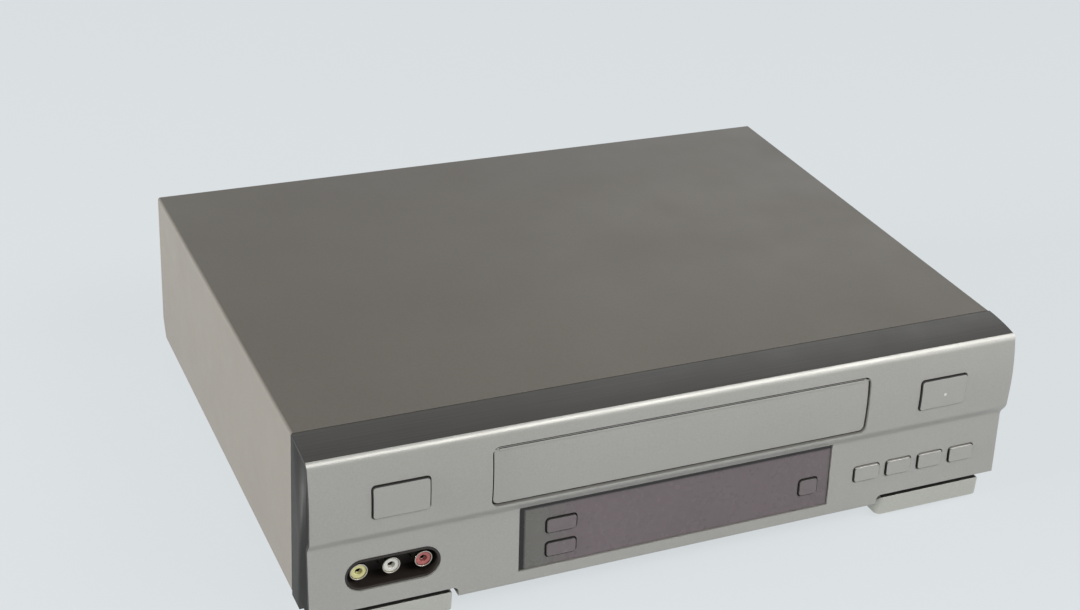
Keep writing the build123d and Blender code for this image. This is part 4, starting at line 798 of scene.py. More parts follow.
# Silver flake paint on moulded ABS: a pale warm grey that brightens towards the light.
SILVER_PAINT = Finish(
    "silver_paint", "#afada7", "#a9a7a0", Grain.SPRAYED, 0.6, 0.006, 0.36, metallic=0.35, fleck=0.05,
    mottle=70,
)
# The same paint on the caps, moulded glossier.
SILVER_CAP = Finish(
    "silver_cap", "#b0aea8", "#aaa8a2", Grain.SPRAYED, 0.7, 0.003, 0.34, metallic=0.35, fleck=0.03,
    mottle=30,
)
# Eject's cap carries one printed dot.
EJECT_CAP = replace(SILVER_CAP, title="eject_cap", mark=(139.9, 68.2))
# The feet's paint: more flake, a little paler.
FOOT_PAINT = Finish(
    "foot_paint", "#c1c0b7", "#b9b8af", Grain.SPRAYED, 0.6, 0.006, 0.40, metallic=0.45, fleck=0.05,
    mottle=30,
)
# Charcoal ABS with a spark-eroded skin: near black, matt.
CHARCOAL_ABS = Finish(
    "charcoal_abs", "#2f2d2a", "#292725", Grain.MOULDED, 0.5, 0.02, 0.55, fleck=0.12, mottle=30
)
# The same ABS, near black, on ends that face the sides: painted shade.
CHARCOAL_PAINTED_SHADE = Finish(
    "charcoal_painted_shade", "#171614", "#131211", Grain.MOULDED, 0.5, 0.02, 0.60, ior=1.36, fleck=0.12, mottle=30
)
# The jacks' cup: brown-black ABS.
CUP_ABS = Finish("cup_abs", "#2b2420", "#241e1b", Grain.MOULDED, 0.5, 0.01, 0.50, fleck=0.12, mottle=20)
# Hairline-brushed dark foil: streaks of lighter and darker brown-grey along its length. The real
# hairlines are finer than a pixel, so they are drawn coarser.
BRUSHED_STRIP = Finish(
    "brushed_strip", "#45423e", "#3c3935", Grain.HAIRLINE, 0.35, 0.01, 0.40, metallic=0.35, fleck=0.22,
    mottle=60,
)
# Smoked acrylic: purple-brown, smooth, with a soft gloss.
# A near-black painted shadow runs along its left and upper edges; a grey painted reflection lies over its
# left end.
SMOKED_ACRYLIC = Finish(
    "smoked_acrylic", "#73686a", "#685e60", Grain.SPRAYED, 3.0, 0.002, 0.27, ior=1.49, fleck=0.03,
    mottle=60, painted_shadow_edge=(-78.7, 46.2),
)
# The caps in the window are moulded from the same smoked acrylic, without the painted shadow and reflection.
SMOKED_CAP = Finish(
    "smoked_cap", "#746a6b", "#685e60", Grain.SPRAYED, 3.0, 0.003, 0.24, ior=1.49, fleck=0.03, mottle=20,
    coat=0.3, coat_roughness=0.1,
)
# Black ABS of connector housings: a faint sheen on a fine texture.
BLACK_ABS = Finish(
    "black_abs", "#1f1e1d", "#191817", Grain.MOULDED, 0.5, 0.015, 0.45, fleck=0.12, mottle=20
)
# Bright nickel plate: warm pale metal.
NICKEL_PLATE = Finish(
    "nickel_plate", "#c9c4b8", "#b5b0a5", Grain.ROLLED, 0.6, 0.004, 0.24, metallic=1.0, mottle=15,
    fleck=0.06,
)
# Zinc-plated sheet steel: bluish grey with faint cloudy bands.
ZINC_SHEET = Finish(
    "zinc_sheet", "#b0b3b5", "#9da1a3", Grain.ROLLED, 3.0, 0.006, 0.40, metallic=1.0, mottle=14,
    contrast=0.8, fleck=0.08,
)
# Moulded acetal: waxy and evenly coloured.
YELLOW_ACETAL = Finish(
    "yellow_acetal", "#e8e2a4", "#dcd590", Grain.MOULDED, 0.4, 0.004, 0.35, mottle=6, fleck=0.04
)
WHITE_ACETAL = Finish(
    "white_acetal", "#ebe8e0", "#deddd5", Grain.MOULDED, 0.4, 0.004, 0.35, mottle=8, fleck=0.04
)
RED_ACETAL = Finish(
    "red_acetal", "#c4706c", "#b4605c", Grain.MOULDED, 0.4, 0.004, 0.35, mottle=6, fleck=0.04
)
DECK_ACETAL = Finish(
    "deck_acetal", "#3a3a3c", "#303032", Grain.MOULDED, 0.5, 0.008, 0.38, mottle=10, fleck=0.08
)
# Black rubber: matt, faintly dusty.
BLACK_RUBBER = Finish("black_rubber", "#262524", "#32302e", Grain.MOULDED, 0.8, 0.03, 0.75, mottle=8)
# Blackened screw steel: dark, half glossy.
BLACK_SCREW = Finish(
    "black_screw", "#4a4744", "#3a3735", Grain.TURNED, 0.3, 0.004, 0.35, metallic=1.0, mottle=3
)
# Drawn spring wire: grey metal, lightly oiled.
SPRING_STEEL = Finish(
    "spring_steel", "#a8a49c", "#8f8b84", Grain.TURNED, 0.2, 0.004, 0.3, metallic=1.0, mottle=4
)
# Moulded epoxy of chips, capacitors and switches: blue-black, dull.
BLACK_BOARD_PARTS = Finish(
    "black_board_parts", "#26272b", "#1c1d20", Grain.MOULDED, 0.4, 0.01, 0.4, mottle=12
)
# The display tube's glass: dark green, mirror smooth.
TUBE_GLASS = Finish(
    "tube_glass", "#2b3836", "#232e2c", Grain.SPRAYED, 2.0, 0.001, 0.08, ior=1.52, mottle=20, coat=0.6
)
# Pressed ferrite and lacquered laminations: dark grey with small pits.
FERRITE = Finish("ferrite", "#4b4a4a", "#3c3b3b", Grain.CAST, 1.2, 0.03, 0.5, metallic=0.3, mottle=10)
# Turned aluminium: pale, with fine rings.
BARE_ALUMINIUM = Finish(
    "bare_aluminium", "#cfcfcd", "#bcbcba", Grain.TURNED, 0.35, 0.004, 0.28, metallic=1.0, mottle=18,
    fleck=0.05,
)
# Oil-soaked sintered bronze: brown-gold with a grain of pressed powder.
SINTERED_BRONZE = Finish(
    "sintered_bronze", "#a77d4c", "#8c673c", Grain.CAST, 0.5, 0.01, 0.45, metallic=1.0, mottle=4
)


@dataclass(frozen=True)
class CircuitFinish(Finish):
    """Solder resist over copper tracks: darker green, with the tracks standing slightly lighter.

    Attributes:
        track: colour of the solder resist over copper.
        track_pitch: spacing of the tracks, in millimetres.
    """

    track: str = "#3f7350"
    track_pitch: float = 5.0

    def tint(
        self, tree: bpy.types.NodeTree, place: bpy.types.NodeSocket, fine: bpy.types.NodeSocket
    ) -> bpy.types.NodeSocket:
        """Lays tracks in right-angled runs over the mask's colour.

        Args:
            tree: the material's node tree.
            place: object coordinates in metres.
            fine: the fine surface's height.

        Returns:
            The colour's socket.
        """
        base = super().tint(tree, place, fine)
        cells = add_node(
            tree, "ShaderNodeTexVoronoi", {"feature": "F1", "distance": "MANHATTAN"},
            {"Vector": place, "Scale": 1 / (self.track_pitch * MM), "Randomness": 0.9},
        )["Distance"]
        bands = add_node(tree, "ShaderNodeMath", {"operation": "PINGPONG"}, {0: cells, 1: 0.16})[0]
        lines = add_node(tree, "ShaderNodeMapRange", None, {
            "Value": bands, "From Min": 0.07, "From Max": 0.10, "To Min": 0.0, "To Max": 0.85,
        })[0]
        track = linear(self.track)
        return add_node(tree, "ShaderNodeMix", {"data_type": "RGBA"}, {0: lines, 6: base, 7: track})[2]


# A printed circuit board: glossy green lacquer over lighter tracks, drawn wider than real ones.
CIRCUIT_BOARD = CircuitFinish(
    "circuit_board", "#2a5138", "#244a32", Grain.SPRAYED, 1.0, 0.004, 0.35, mottle=40, fleck=0.05
)


def dress(
    piece: bpy.types.Object,
    *finishes: Finish,
    choice: Callable[[bpy.types.MeshPolygon], int] | None = None,
) -> bpy.types.Object:
    """Gives a piece its materials.

    Args:
        piece: the piece.
        finishes: one for each slot.
        choice: gives a face the number of its finish, if it isn't the first for all.

    Returns:
        The piece.
    """
    piece.data.materials.clear()
    for finish in finishes:
        piece.data.materials.append(finish.material())
    if choice:
        for polygon in piece.data.polygons:
            polygon.material_index = int(choice(polygon))
    return piece


def mount(
    piece: bpy.types.Object, body: str, finish: Finish, nodes: Sequence[str] = ()
) -> bpy.types.Object:
    """Dresses a piece, hangs it on its body and hides the CAD nodes that it stands for.

    Args:
        piece: the finished mesh.
        body: the CAD body that carries it.
        finish: what it is made of.
        nodes: the CAD nodes that it replaces.

    Returns:
        The piece.
    """
    if not piece.data.materials:
        dress(piece, finish)
    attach(piece, body)
    if nodes:
        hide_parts(*nodes)
    LOG.info("%s: %d faces on %s", piece.name, len(piece.data.polygons), body)
    return piece


# ---------------------------------------------------------------- front panel
@dataclass
class PanelSection:
    """The front's outer section, in Y and Z.

    Attributes:
        front: Y of the foremost line.
        bulge: height of that line's upper end.
        waist_high: where the face starts to step back.
        waist_low: the foot of that step.
        foot: the corner between the lower face and its rounded edge.
        bottom: the underside.
        nose: where the upper face meets the rounded nose.
        nose_centre: about which the nose is rounded.
        nose_rear: the nose's upper rear corner.
        shelf: height of the nose's rear end, on which it rests.
        back_top: height up to which the face's back follows its front.
        skin: thickness of the silver face.
        lip: how far the silver reaches to the rear along the underside.
    """

    front: float = -137.85
    bulge: float = 62.0
    waist_high: float = 54.6
    waist_low: Point = (-134.45, 47.2)
    foot: Point = (-137.65, 10.4)
    bottom: float = 9.2
    nose: Point = (-134.45, 88.9)
    nose_centre: Point = (-129.282, 87.515)
    nose_rear: Point = (-132.05, 92.05)
    shelf: float = 90.4
    back_top: float = 89.6
    skin: float = 1.9
    lip: float = 4.6

    def face_y(self, z: float) -> float:
        """Follows the outer face.

        Args:
            z: a height.

        Returns:
            Y of the face at that height.
        """
        if z >= self.bulge:
            rise, run = self.nose[1] - self.bulge, self.nose[0] - self.front
            radius = (rise**2 + run**2) / (2 * run)
            return self.front + radius - math.sqrt(radius**2 - (z - self.bulge) ** 2)
        if z >= self.waist_high:
            return self.front
        if z >= self.waist_low[1]:
            share = (self.waist_high - z) / (self.waist_high - self.waist_low[1])
            return self.front + (self.waist_low[0] - self.front) * (3 * share**2 - 2 * share**3)
        share = (self.waist_low[1] - z) / (self.waist_low[1] - self.foot[1])
        return self.waist_low[0] + share * (self.foot[0] - self.waist_low[0])

    def levels(self, low: float, high: float) -> list[float]:
        """Divides the face, closely where it curves.

        Args:
            low: the lowest height.
            high: the highest.

        Returns:
            The heights of the divisions, low and high among them.
        """
        marks = [self.waist_low[1] + step * (self.waist_high - self.waist_low[1]) / 14 for step in range(15)]
        marks += [self.bulge + step * (self.nose[1] - self.bulge) / 22 for step in range(23)]
        inside = [mark for mark in marks if low + 0.05 < mark < high - 0.05]
        return [low, *inside, high]

    def band(self, low: float, high: float, front: float, back: float) -> list[Point]:
        """Outlines a sheet that follows the face.

        Args:
            low: height of its lower edge.
            high: height of its upper edge.
            front: how far its front lies behind the face.
            back: how far its back does.

        Returns:
            The closed outline, in Y and Z.
        """
        levels = self.levels(low, high)
        outer = [(self.face_y(z) + front, z) for z in levels]
        inner = [(self.face_y(z) + back, z) for z in reversed(levels)]
        return outer + inner

    def shell(self) -> list[Point]:
        """Outlines the silver face: its underside, the rounded corner, the face, the nose and its back.

        Returns:
            The closed outline, in Y and Z.
        """
        edge = self.foot[1] - self.bottom
        corner = arc((self.foot[0] + edge, self.bottom), self.foot, (self.foot[0] + edge, self.foot[1]), 6)
        face = [(self.face_y(z), z) for z in self.levels(self.foot[1], self.nose[1])][1:-1]
        crown = arc(self.nose, (self.nose_rear[0] - 0.05, self.nose_rear[1]), self.nose_centre, 9)
        lip, back_low = self.foot[0] + self.lip, self.bottom + self.skin
        back = [(self.face_y(z) + self.skin, z) for z in self.levels(back_low, self.back_top)]
        front = [(lip, self.bottom), *corner, *face, *crown, self.nose_rear]
        return [*front, (self.nose_rear[0], self.shelf), *reversed(back), (lip, back_low)]


@dataclass
class Opening:
    """A rounded opening or cap in the front: its middle, its size and the radius of its corners."""

    x: float
    z: float
    width: float
    height: float
    corner: float

    def cutter(self, grow: float, back: float = CUT_BACK) -> bpy.types.Object:
        """Makes a prism along Y with this outline.

        Args:
            grow: how much larger it is on every side.
            back: Y of its rear end.

        Returns:
            The prism.
        """
        size = (self.width + 2 * grow, self.height + 2 * grow)
        return prism(
            "cutter", rounded_outline((self.x, self.z), size, self.corner + grow), CUT_FRONT, back, along_y
        )


@dataclass
class FrontPanel:
    """The moulded front: a silver face on a charcoal body, with the dark strip along its top.

    Attributes:
        half: half of its width.
        gap: round the caps.
        door_gap: round the flap.
        cup_gap: round the jacks' cup.
        play: between the face and the body behind it.
        edge: rounding of the face's edges.
        notch_back: Y of the rear end of the notches over the feet.
        strip_rear: Y and Z of the strip's upper rear edge.
        strip_front: Y and Z of its upper front edge.
        strip_sheet: its thickness.
        section: the face's section.
        door: the cassette slot.
        window: the display's window.
        pocket: the jacks' cup.
        notches: cut out over the feet.
        caps: the push buttons, by their CAD nodes.
    """

    half: float = 180.0
    gap: float = 0.55
    door_gap: float = 1.0
    cup_gap: float = 0.15
    play: float = 0.02
    edge: float = 0.28
    notch_back: float = -122.85
    strip_rear: Point = (-111.85, 94.0)
    strip_front: Point = (-131.9, 92.0)
    strip_sheet: float = 1.5
    section: PanelSection = field(default_factory=PanelSection)
    door: Opening = field(default_factory=lambda: Opening(0.0, 69.45, 192.0, 27.9, 2.5))
    window: Opening = field(default_factory=lambda: Opening(0.0, 32.2, 163.5, 33.4, 0.2))
    pocket: Opening = field(default_factory=lambda: Opening(-141.4, 31.0, 44.1, 15.6, 7.8))
    notches: tuple[Opening, ...] = (
        Opening(-160.5, -5.6, 100.0, 40.0, 3.0), Opening(160.5, -5.6, 100.0, 40.0, 3.0),
    )
    caps: dict[str, Opening] = field(default_factory=lambda: {
        **{name: Opening(x, 69.15, 26.0, 15.6, 1.5)
           for name, x in (("power_button", -139.1), ("eject_button", 139.1))},
        **{f"{name}_button": Opening(102.7 + step * 18.5, 29.25, 14.2, 7.9, 1.5)
           for step, name in enumerate(("rewind", "play", "fast_forward", "stop"))},
    })

    def build_face(self) -> bpy.types.Object:
        """Builds the silver face.

        Returns:
            The face, the edges of its openings slightly rounded.
        """
        face = prism("panel_face", self.section.shell(), -self.half, self.half, along_x)
        cutters = [self.door.cutter(self.door_gap), self.window.cutter(0)]
        cutters += [cap.cutter(self.gap) for cap in self.caps.values()]
        cutters.append(self.pocket.cutter(self.cup_gap))
        cutters += [notch.cutter(0, self.notch_back) for notch in self.notches]
        soften(combine(face, cutters), self.edge)
        # The face's ends take the near-black charcoal: painted shade.
        return dress(
            face, SILVER_PAINT, CHARCOAL_PAINTED_SHADE,
            choice=lambda side: abs(side.normal.x) > 0.9 and abs(side.center.x) > (self.half - 0.1) * MM,
        )

    def build_body(self) -> bpy.types.Object:
        """Cuts the charcoal body to lie behind the face.

        Returns:
            The body, with its rim, claws and hinge lugs.
        """
        body = cad_copy("front_panel", "panel_body")
        section = self.section
        # The cutter takes away what the face fills, and all that lies below, above and in front of it.
        low, under, over, ahead = 10.5, 8.0, 95.0, -145.0
        levels = section.levels(low, section.back_top)
        line = [(section.face_y(z) + section.skin + self.play, z) for z in levels]
        lip, step = section.foot[0] + section.lip + 0.05, section.nose_rear[0] + self.play
        front = [(lip, under), (lip, low), *line, (step, section.shelf), (step, over)]
        front += [(ahead, over), (ahead, under)]
        combine(body, [prism("cutter", front, -self.half - 1, self.half + 1, along_x)])
        # The body's sides take the near-black charcoal: painted shade.
        return dress(body, CHARCOAL_ABS, CHARCOAL_PAINTED_SHADE, choice=lambda side: abs(side.normal.x) > 0.7)

    def build_strip(self) -> bpy.types.Object:
        """Builds the strip on top.

        Returns:
            A gently curved bar whose front edge drops towards the nose.
        """
        rear, front, sheet = self.strip_rear, self.strip_front, self.strip_sheet
        run, drop = rear[0] - front[0], rear[1] - front[1]
        radius = (run**2 + drop**2) / (2 * drop)
        top = arc(rear, front, (rear[0], rear[1] - radius), 12)
        outline = [*top, (front[0], front[1] - sheet), (rear[0], rear[1] - sheet)]
        strip = soften(prism("brushed_strip", outline, -self.half, self.half, along_x), 0.15)
        # The strip's ends take the near-black charcoal: painted shade.
        return dress(strip, BRUSHED_STRIP, CHARCOAL_PAINTED_SHADE, choice=lambda side: abs(side.normal.x) > 0.3)

    def build(self) -> None:
        """Builds and dresses the panel's pieces."""
        mount(self.build_face(), "case", SILVER_PAINT, ["front_panel"])
        mount(self.build_body(), "case", CHARCOAL_ABS, ["front_panel"])
        mount(self.build_strip(), "case", BRUSHED_STRIP, ["front_top_trim"])
        for name in self.caps:
            self.build_cap(name)

    def build_cap(self, name: str) -> None:
        """Dresses a push button's cap: silver face, charcoal sides; a small one's top is silver too, a
        painted highlight.

        Args:
            name: the button's CAD node and body.
        """
        cap = shade(cad_copy(name, f"{name}_cap"))
        paint = EJECT_CAP if name == "eject_button" else SILVER_CAP
        small = self.caps[name].width < 20
        dress(
            cap, CHARCOAL_ABS, paint,
            choice=lambda side: side.normal.y < -0.86 or (small and side.normal.z > 0.6),
        )
        mount(cap, name, SILVER_CAP, [name])


@dataclass
class CassetteDoor:
    """The flap across the cassette slot, hinged along its upper edge.

    Attributes:
        panel: the front that it closes.
        setback: how far it lies behind the panel's face.
        thickness: of the flap.
        axis: Y and Z of its hinge.
        barrel_radius: of the roll along its upper edge.
        pin_radius: of the pins at the roll's ends.
        pin_end: X of the pins' ends.
        inset: how much shorter the roll and the rib are than the flap, at each end.
        rib: the stiffening rib's depth, and half its height at its foot and at its edge.
    """

    panel: FrontPanel
    setback: float = 1.1
    thickness: float = 1.8
    axis: Point = (-133.95, 82.2)
    barrel_radius: float = 1.2
    pin_radius: float = 1.0
    pin_end: float = 99.5
    inset: float = 2.5
    rib: Place = (2.6, 0.6, 0.4)

    def build(self) -> None:
        """Builds the flap with its hinge barrel, pins and stiffening rib."""
        shape = self.panel.door
        half, half_height = shape.width / 2, shape.height / 2
        outline = self.panel.section.band(
            shape.z - half_height, shape.z + half_height, self.setback, self.setback + self.thickness
        )
        flap = prism("cassette_flap", outline, -half, half, along_x)
        combine(flap, [shape.cutter(0)], "INTERSECT")
        pieces = [soften(flap, 0.12)]
        turns = [math.radians(15 * step) for step in range(24)]
        circle = [(math.cos(turn), math.sin(turn)) for turn in turns]
        for name, radius, end in (
            ("barrel", self.barrel_radius, half - self.inset), ("pins", self.pin_radius, self.pin_end)
        ):
            ring = [(self.axis[0] + radius * along, self.axis[1] + radius * up) for along, up in circle]
            pieces.append(prism(name, ring, -end, end, along_x))
        root = self.panel.section.face_y(shape.z) + self.setback + self.thickness / 2
        depth, foot, edge = self.rib
        rib = [(root, shape.z - foot), (root + depth, shape.z - edge),
               (root + depth, shape.z + edge), (root, shape.z + foot)]
        pieces.append(prism("rib", rib, self.inset - half, half - self.inset, along_x))
        door = dress(join(pieces), CHARCOAL_ABS, SILVER_PAINT, choice=lambda side: side.normal.y < -0.8)
        mount(door, "cassette_door", SILVER_PAINT, ["cassette_door"])


@dataclass
class DisplayWindow:
    """The smoked window with its three caps."""

    caps: tuple[str, ...] = ("channel_up_button", "channel_down_button", "record_button")

    def build(self) -> None:
        """Dresses the window and its caps in smoked acrylic."""
        window = soften(cad_copy("display_window", "smoked_window"), 0.25)
        mount(window, "case", SMOKED_ACRYLIC, ["display_window"])
        for name in self.caps:
            cap = shade(cad_copy(name, f"{name}_cap"))
            dress(cap, CHARCOAL_ABS, SMOKED_CAP, choice=lambda side: side.normal.y < -0.8)
            mount(cap, name, SMOKED_CAP, [name])


@dataclass
class Cover:
    """The folded steel cover with its lip over the rear panel, the case's screws and its feet.

    Attributes:
        sheet: thickness of its steel.
        bend: outer radius of its folds.
        lip: how far it reaches down over the rear panel.
        corner: size of the cut at its lower rear corners.
        screw_x: X of the rear screws.
        screw_z: their height.
        hole: width of their holes.
        foot_seat: height of the seats of the feet's screws.
        front_foot_screw: how far the front feet's screws lie in from the feet's outer and rear ends.
        rear_foot_screw: X of the rear feet's screws, and how far they lie in from the rear.
    """

    sheet: float = 0.8
    bend: float = 1.3
    lip: float = 9.0
    corner: float = 5.0
    screw_x: tuple[float, ...] = (-130.0, 0.0, 130.0)
    screw_z: float = 88.5
    hole: float = 3.4
    foot_seat: float = 4.5
    front_foot_screw: Point = (30.35, 5.5)
    rear_foot_screw: Point = (156.0, 26.0)

    def build(self) -> None:
        """Builds and dresses them."""
        low, high = ([value / MM for value in corner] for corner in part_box("top_cover"))
        mount(self.build_cover(low, high), "case", COVER_ENAMEL, ["top_cover"])
        feet_high = [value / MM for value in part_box("front_feet")[1]]
        front = (feet_high[0] - self.front_foot_screw[0], feet_high[1] - self.front_foot_screw[1])
        rear = (self.rear_foot_screw[0], high[1] - self.rear_foot_screw[1])
        for name, turn, places in (
            ("rear_screws", math.radians(90), [(x, high[1], self.screw_z) for x in self.screw_x]),
            ("foot_screws", 0.0, [(way * x, y, self.foot_seat) for x, y in (front, rear) for way in (-1, 1)]),
        ):
            screws = shade(screw_rule((turn, 0.0, 0.0), BLACK_SCREW).make(name, places))
            mount(screws, "case", BLACK_SCREW, ["case_screws"])
        feet = soften(cad_copy("front_feet", "silver_feet"), 0.7, 3)
        # Their upper faces, under the panel's lower edge, take charcoal: painted shade in the gap between
        # feet and panel.
        dress(feet, FOOT_PAINT, CHARCOAL_ABS, choice=lambda side: side.normal.z > 0.9)
        mount(feet, "case", FOOT_PAINT, ["front_feet"])
        pads = soften(cad_copy("rubber_feet", "rubber_soles"), 0.5)
        mount(pads, "case", BLACK_RUBBER, ["rubber_feet"])

    def build_cover(self, low: list[float], high: list[float]) -> bpy.types.Object:
        """Folds the cover, adds its lip and cuts its lower rear corners.

        Args:
            low: the cover's lowest X, Y and Z, in millimetres.
            high: its highest.

        Returns:
            The cover, which doesn't reach beyond those places.
        """
        bends = [(low[0], low[2]), (low[0], high[2]), (high[0], high[2]), (high[0], low[2])]
        line = [(x, low[1], z) for x, z in bends]
        cover = fold_rule(self.sheet, self.bend, high[1] - low[1], COVER_ENAMEL).make(
            "folded_cover", line, [(0, 1), (1, 2), (2, 3)]
        )
        lip_size = (high[0] - low[0] - 2 * self.sheet, self.lip - self.sheet)
        lip_outline = rounded_outline((0.0, high[2] - self.sheet - lip_size[1] / 2), lip_size, 0.3, 2)
        lip = prism("cover_lip", lip_outline, high[1] - self.sheet, high[1], along_y)
        holes = [
            rounded_outline((x, self.screw_z), (self.hole, self.hole), self.hole / 2 - 0.01)
            for x in self.screw_x
        ]
        combine(lip, [prism("hole", hole, high[1] - 3, high[1] + 3, along_y) for hole in holes])
        top = low[2] + 2 * self.corner
        corner = [(high[1] - self.corner, low[2] - 1), (high[1] + 1, low[2] - 1), (high[1] + 1, top + 2),
                  (high[1], top), (high[1] - self.corner, low[2])]
        combine(cover, [prism("corner", corner, low[0] - 1, high[0] + 1, along_x)])
        cover = soften(join([cover, lip]), 0.18)
        for vertex in cover.data.vertices:
            vertex.co = [min(max(at, least * MM), most * MM) for at, least, most in zip(vertex.co, low, high)]
        return cover


@dataclass
class Jacks:
    """The phono jacks: turned barrels, coloured insulators and the spring sleeves inside them.

    Attributes:
        pitch: spacing along a row.
        front_middle: X and Z of the front row's middle jack.
        rear_middle: X of the rear rows' middle jacks.
        rear_z: heights of the rear rows.
        outer: radius of a barrel.
        wall: thickness of a barrel.
        length: of a barrel.
        bore: radius of the hole in an insulator.
        recess: how far an insulator lies behind the barrel's end.
        base: how far it stays clear of the barrel's root.
        fit: play between one ring and the next.
        sleeve_bore: radius of a sleeve's hole.
        sleeve_length: of a sleeve.
        sleeve_recess: how far it lies behind the barrel's end.
    """

    pitch: float = 15.0
    front_middle: Point = (-141.4, 31.0)
    rear_middle: float = 20.0
    rear_z: Point = (34.0, 50.0)
    outer: float = 4.15
    wall: float = 0.5
    length: float = 9.0
    bore: float = 1.7
    recess: float = 0.5
    base: float = 1.0
    fit: float = 0.05
    sleeve_bore: float = 1.2
    sleeve_length: float = 3.5
    sleeve_recess: float = 2.2

    def build(self) -> None:
        """Builds the front row, which points forward, and the two rear rows, which point to the rear."""
        low, high = ([value / MM for value in corner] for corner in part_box("jack_shells"))
        columns = []
        for step in (-1, 0, 1):
            front = (self.front_middle[0] + step * self.pitch, low[1], self.front_middle[1], True)
            rear_x = self.rear_middle + step * self.pitch
            columns.append([front, *((rear_x, high[1] - self.length, z, False) for z in self.rear_z)])
        shells = ring_rule(self.outer, self.outer - self.wall, self.length, 0.18, NICKEL_PLATE)
        barrels = shells.make("jack_barrels", [jack[:3] for row in zip(*columns) for jack in row])
        mount(shade(barrels), "case", NICKEL_PLATE, ["jack_shells"])
        for jacks, colour, finish in zip(
            columns, ("yellow", "white", "red"), (YELLOW_ACETAL, WHITE_ACETAL, RED_ACETAL)
        ):
            depth = self.length - self.recess - self.base
            ring = ring_rule(self.outer - self.wall - self.fit, self.bore, depth, 0.35, finish)
            insulators = ring.make(f"{colour}_insulators", self.places(jacks, self.recess, self.base))
            mount(shade(insulators), "case", finish, [f"{colour}_jack_inserts"])
            root = self.length - self.sleeve_recess - self.sleeve_length
            ring = ring_rule(self.bore - self.fit, self.sleeve_bore, self.sleeve_length, 0.1, NICKEL_PLATE)
            sleeves = ring.make(f"{colour}_sleeves", self.places(jacks, self.sleeve_recess, root))
            mount(shade(sleeves), "case", NICKEL_PLATE)

    @staticmethod
    def places(jacks: Iterable[tuple[float, float, float, bool]], front: float, rear: float) -> list[Place]:
        """Where rings start in the jacks: at one depth in those in front, at another in those behind."""
        return [(x, y + (front if forward else rear), z) for x, y, z, forward in jacks]


@dataclass
class Furniture:
    """CAD nodes whose shapes are right as they are, each with its finish."""

    finishes: dict[str, Finish] = field(default_factory=lambda: {
        "base_tray": ZINC_SHEET, "rear_panel": ZINC_SHEET, "door_spring": SPRING_STEEL,
        "jack_housings": CUP_ABS, "power_inlet": BLACK_ABS, "tuner": NICKEL_PLATE,
        "front_board": CIRCUIT_BOARD, "key_switches": BLACK_BOARD_PARTS, "display_tube": TUBE_GLASS,
        "main_board": CIRCUIT_BOARD, "board_parts": BLACK_BOARD_PARTS, "power_transformer": FERRITE,
        "heat_sink": BARE_ALUMINIUM, "deck_plate": ZINC_SHEET, "lower_drum": BARE_ALUMINIUM,
        "upper_drum": BARE_ALUMINIUM, "drum_rotor": ZINC_SHEET, "motor_stators": CIRCUIT_BOARD,
        "capstan_flywheel": ZINC_SHEET, "bearing_bushes": SINTERED_BRONZE, "clutch_pulley": DECK_ACETAL,
        "reel_belt": BLACK_RUBBER, "idler_arm": ZINC_SHEET, "idler_wheel": BLACK_RUBBER,
        "pinch_arm": ZINC_SHEET, "pinch_roller": BLACK_RUBBER, "tension_arm": ZINC_SHEET,
        "cam_gear": WHITE_ACETAL, "loading_pinion": DECK_ACETAL, "loading_motor": ZINC_SHEET,
        "tape_heads": BARE_ALUMINIUM, "carrier_frame": ZINC_SHEET, "carrier_racks": WHITE_ACETAL,
        "carrier_pinion": DECK_ACETAL, "cassette_carrier": ZINC_SHEET,
        "supply_reel_table": DECK_ACETAL, "take_up_reel_table": DECK_ACETAL,
        "supply_guide": DECK_ACETAL, "take_up_guide": DECK_ACETAL,
    })

    def build(self) -> None:
        """Puts each finish into its node's slots."""
        for name, finish in self.finishes.items():
            dress(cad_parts[name], finish)


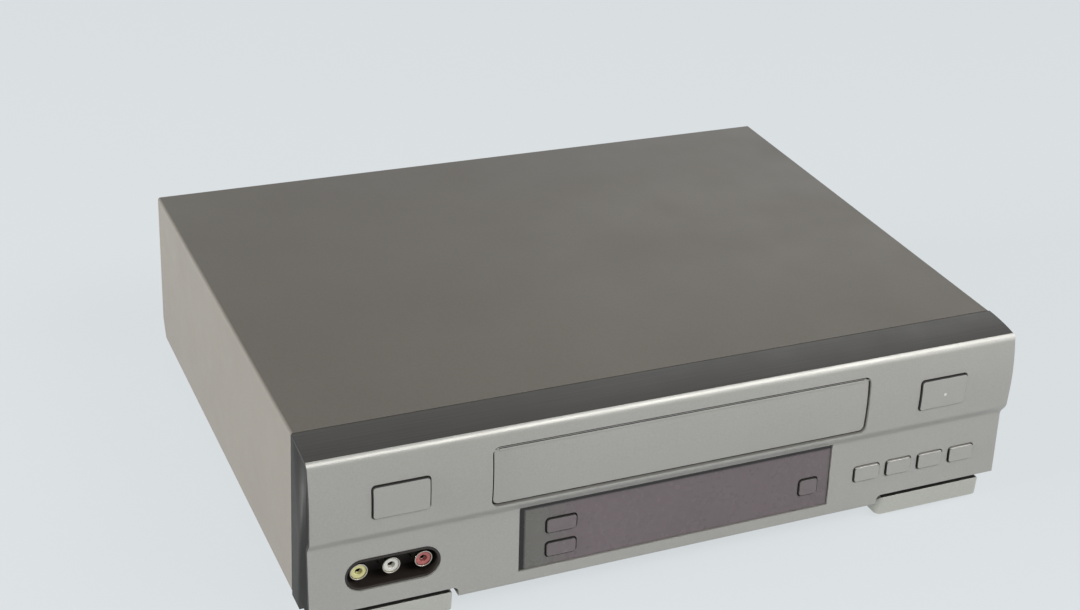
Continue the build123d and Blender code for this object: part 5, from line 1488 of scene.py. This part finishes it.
# ---------------------------------------------------------------- studio
@dataclass
class Studio:
    """The floor, the plain soft lamps and the camera.

    Attributes:
        eye: where the camera stands, in millimetres.
        turn: how it is turned, in degrees.
        lens: its focal length, in millimetres, on a frame 36 mm wide.
    """

    eye: Place = (-361.67257, -727.46241, 507.09982)
    turn: Place = (61.504958, -3.406441, -23.668147)
    lens: float = 59.561

    def camera(self) -> None:
        """Makes the camera."""
        lens = bpy.data.cameras.new("camera")
        lens.lens = self.lens
        lens.sensor_width = 36.0
        lens.clip_end = 60.0
        camera = bpy.data.objects.new("camera", lens)
        camera.location = Vector(self.eye) * MM
        camera.rotation_euler = Euler([math.radians(angle) for angle in self.turn])
        bpy.context.scene.collection.objects.link(camera)
        bpy.context.scene.camera = camera

    @staticmethod
    def seen(tree: bpy.types.NodeTree) -> bpy.types.NodeSocket:
        """Tells what is looked at from what only lights the object.

        Args:
            tree: the node tree that asks.

        Returns:
            1 for rays from the camera, from a gloss and through glass, otherwise 0.
        """
        rays = add_node(tree, "ShaderNodeLightPath")
        shown = rays["Is Camera Ray"]
        for other in ("Is Glossy Ray", "Is Transmission Ray"):
            shown = add_node(tree, "ShaderNodeMath", {"operation": "MAXIMUM"}, {0: shown, 1: rays[other]})[0]
        return shown

    def floor(self) -> None:
        """A pale floor that keeps the object's soft shadow."""
        side = 9000.0
        floor = mesh_piece(
            "floor", [(-side, -side, 0), (side, -side, 0), (side, side, 0), (-side, side, 0)], [(0, 1, 2, 3)]
        )
        material = bpy.data.materials.new("matt_paper")
        material.use_nodes = True
        tree = material.node_tree
        tree.nodes.clear()
        paper = add_node(tree, "ShaderNodeBsdfDiffuse", None, {"Color": linear("#e2e6e9")})[0]
        glow = add_node(tree, "ShaderNodeEmission", None, {"Color": linear(BACKGROUND), "Strength": 1.04})[0]
        share = add_node(tree, "ShaderNodeMath", {"operation": "MULTIPLY"}, {0: self.seen(tree), 1: 0.85})[0]
        mix = add_node(tree, "ShaderNodeMixShader", None, {0: share, 1: paper, 2: glow})
        add_node(tree, "ShaderNodeOutputMaterial", None, {"Surface": mix[0]})
        floor.data.materials.append(material)

    def world(self) -> None:
        """Plain light from all round, with the pale background where the camera or a gloss sees it."""
        world = bpy.data.worlds.new("studio")
        bpy.context.scene.world = world
        world.use_nodes = True
        tree = world.node_tree
        tree.nodes.clear()
        plain, around = (
            add_node(tree, "ShaderNodeBackground", None, {"Color": linear(colour), "Strength": strength})[0]
            for colour, strength in ((BACKGROUND, 1.0), ("#e8eaec", 0.2))
        )
        mix = add_node(tree, "ShaderNodeMixShader", None, {0: self.seen(tree), 1: around, 2: plain})
        add_node(tree, "ShaderNodeOutputWorld", None, {"Surface": mix[0]})

    def lamp(self, name: str, place: Place, target: Place, size: Point, power: float) -> None:
        """Adds a soft lamp.

        Args:
            name: its name.
            place: where it stands, in millimetres.
            target: what it points at.
            size: its width and height, in millimetres.
            power: in watts.
        """
        light = bpy.data.lights.new(name, "AREA")
        light.shape = "RECTANGLE"
        light.size, light.size_y = size[0] * MM, size[1] * MM
        light.energy = power
        lamp = bpy.data.objects.new(name, light)
        lamp.location = Vector(place) * MM
        direction = (Vector(target) - Vector(place)).normalized()
        lamp.rotation_euler = direction.to_track_quat("-Z", "Y").to_euler()
        bpy.context.scene.collection.objects.link(lamp)

    def build(self) -> None:
        """Sets up the whole studio."""
        self.camera()
        self.floor()
        self.world()
        self.lamp("left_lamp", (-2300, 60, 330), (0, 0, 40), (900, 900), 114)
        self.lamp("key_lamp", (750, -1100, 1350), (40, -100, 60), (1500, 600), 18)
        self.lamp("rear_lamp", (1500, 1700, 1500), (0, 0, 60), (1200, 900), 3.2)
        self.lamp("right_lamp", (1700, -1250, 800), (120, -138, 35), (1400, 900), 8.5)


def main() -> None:
    """Builds the studio and every sub-assembly in order."""
    logging.basicConfig(level=logging.INFO, format="%(name)s: %(message)s", stream=sys.stdout)
    bpy.context.scene.view_settings.view_transform = "Standard"
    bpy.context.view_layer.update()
    Studio().build()
    panel = FrontPanel()
    for assembly in (Furniture(), Cover(), panel, CassetteDoor(panel), DisplayWindow(), Jacks()):
        assembly.build()
        LOG.info("%s is dressed", type(assembly).__name__)


if __name__ == "__main__":
    main()
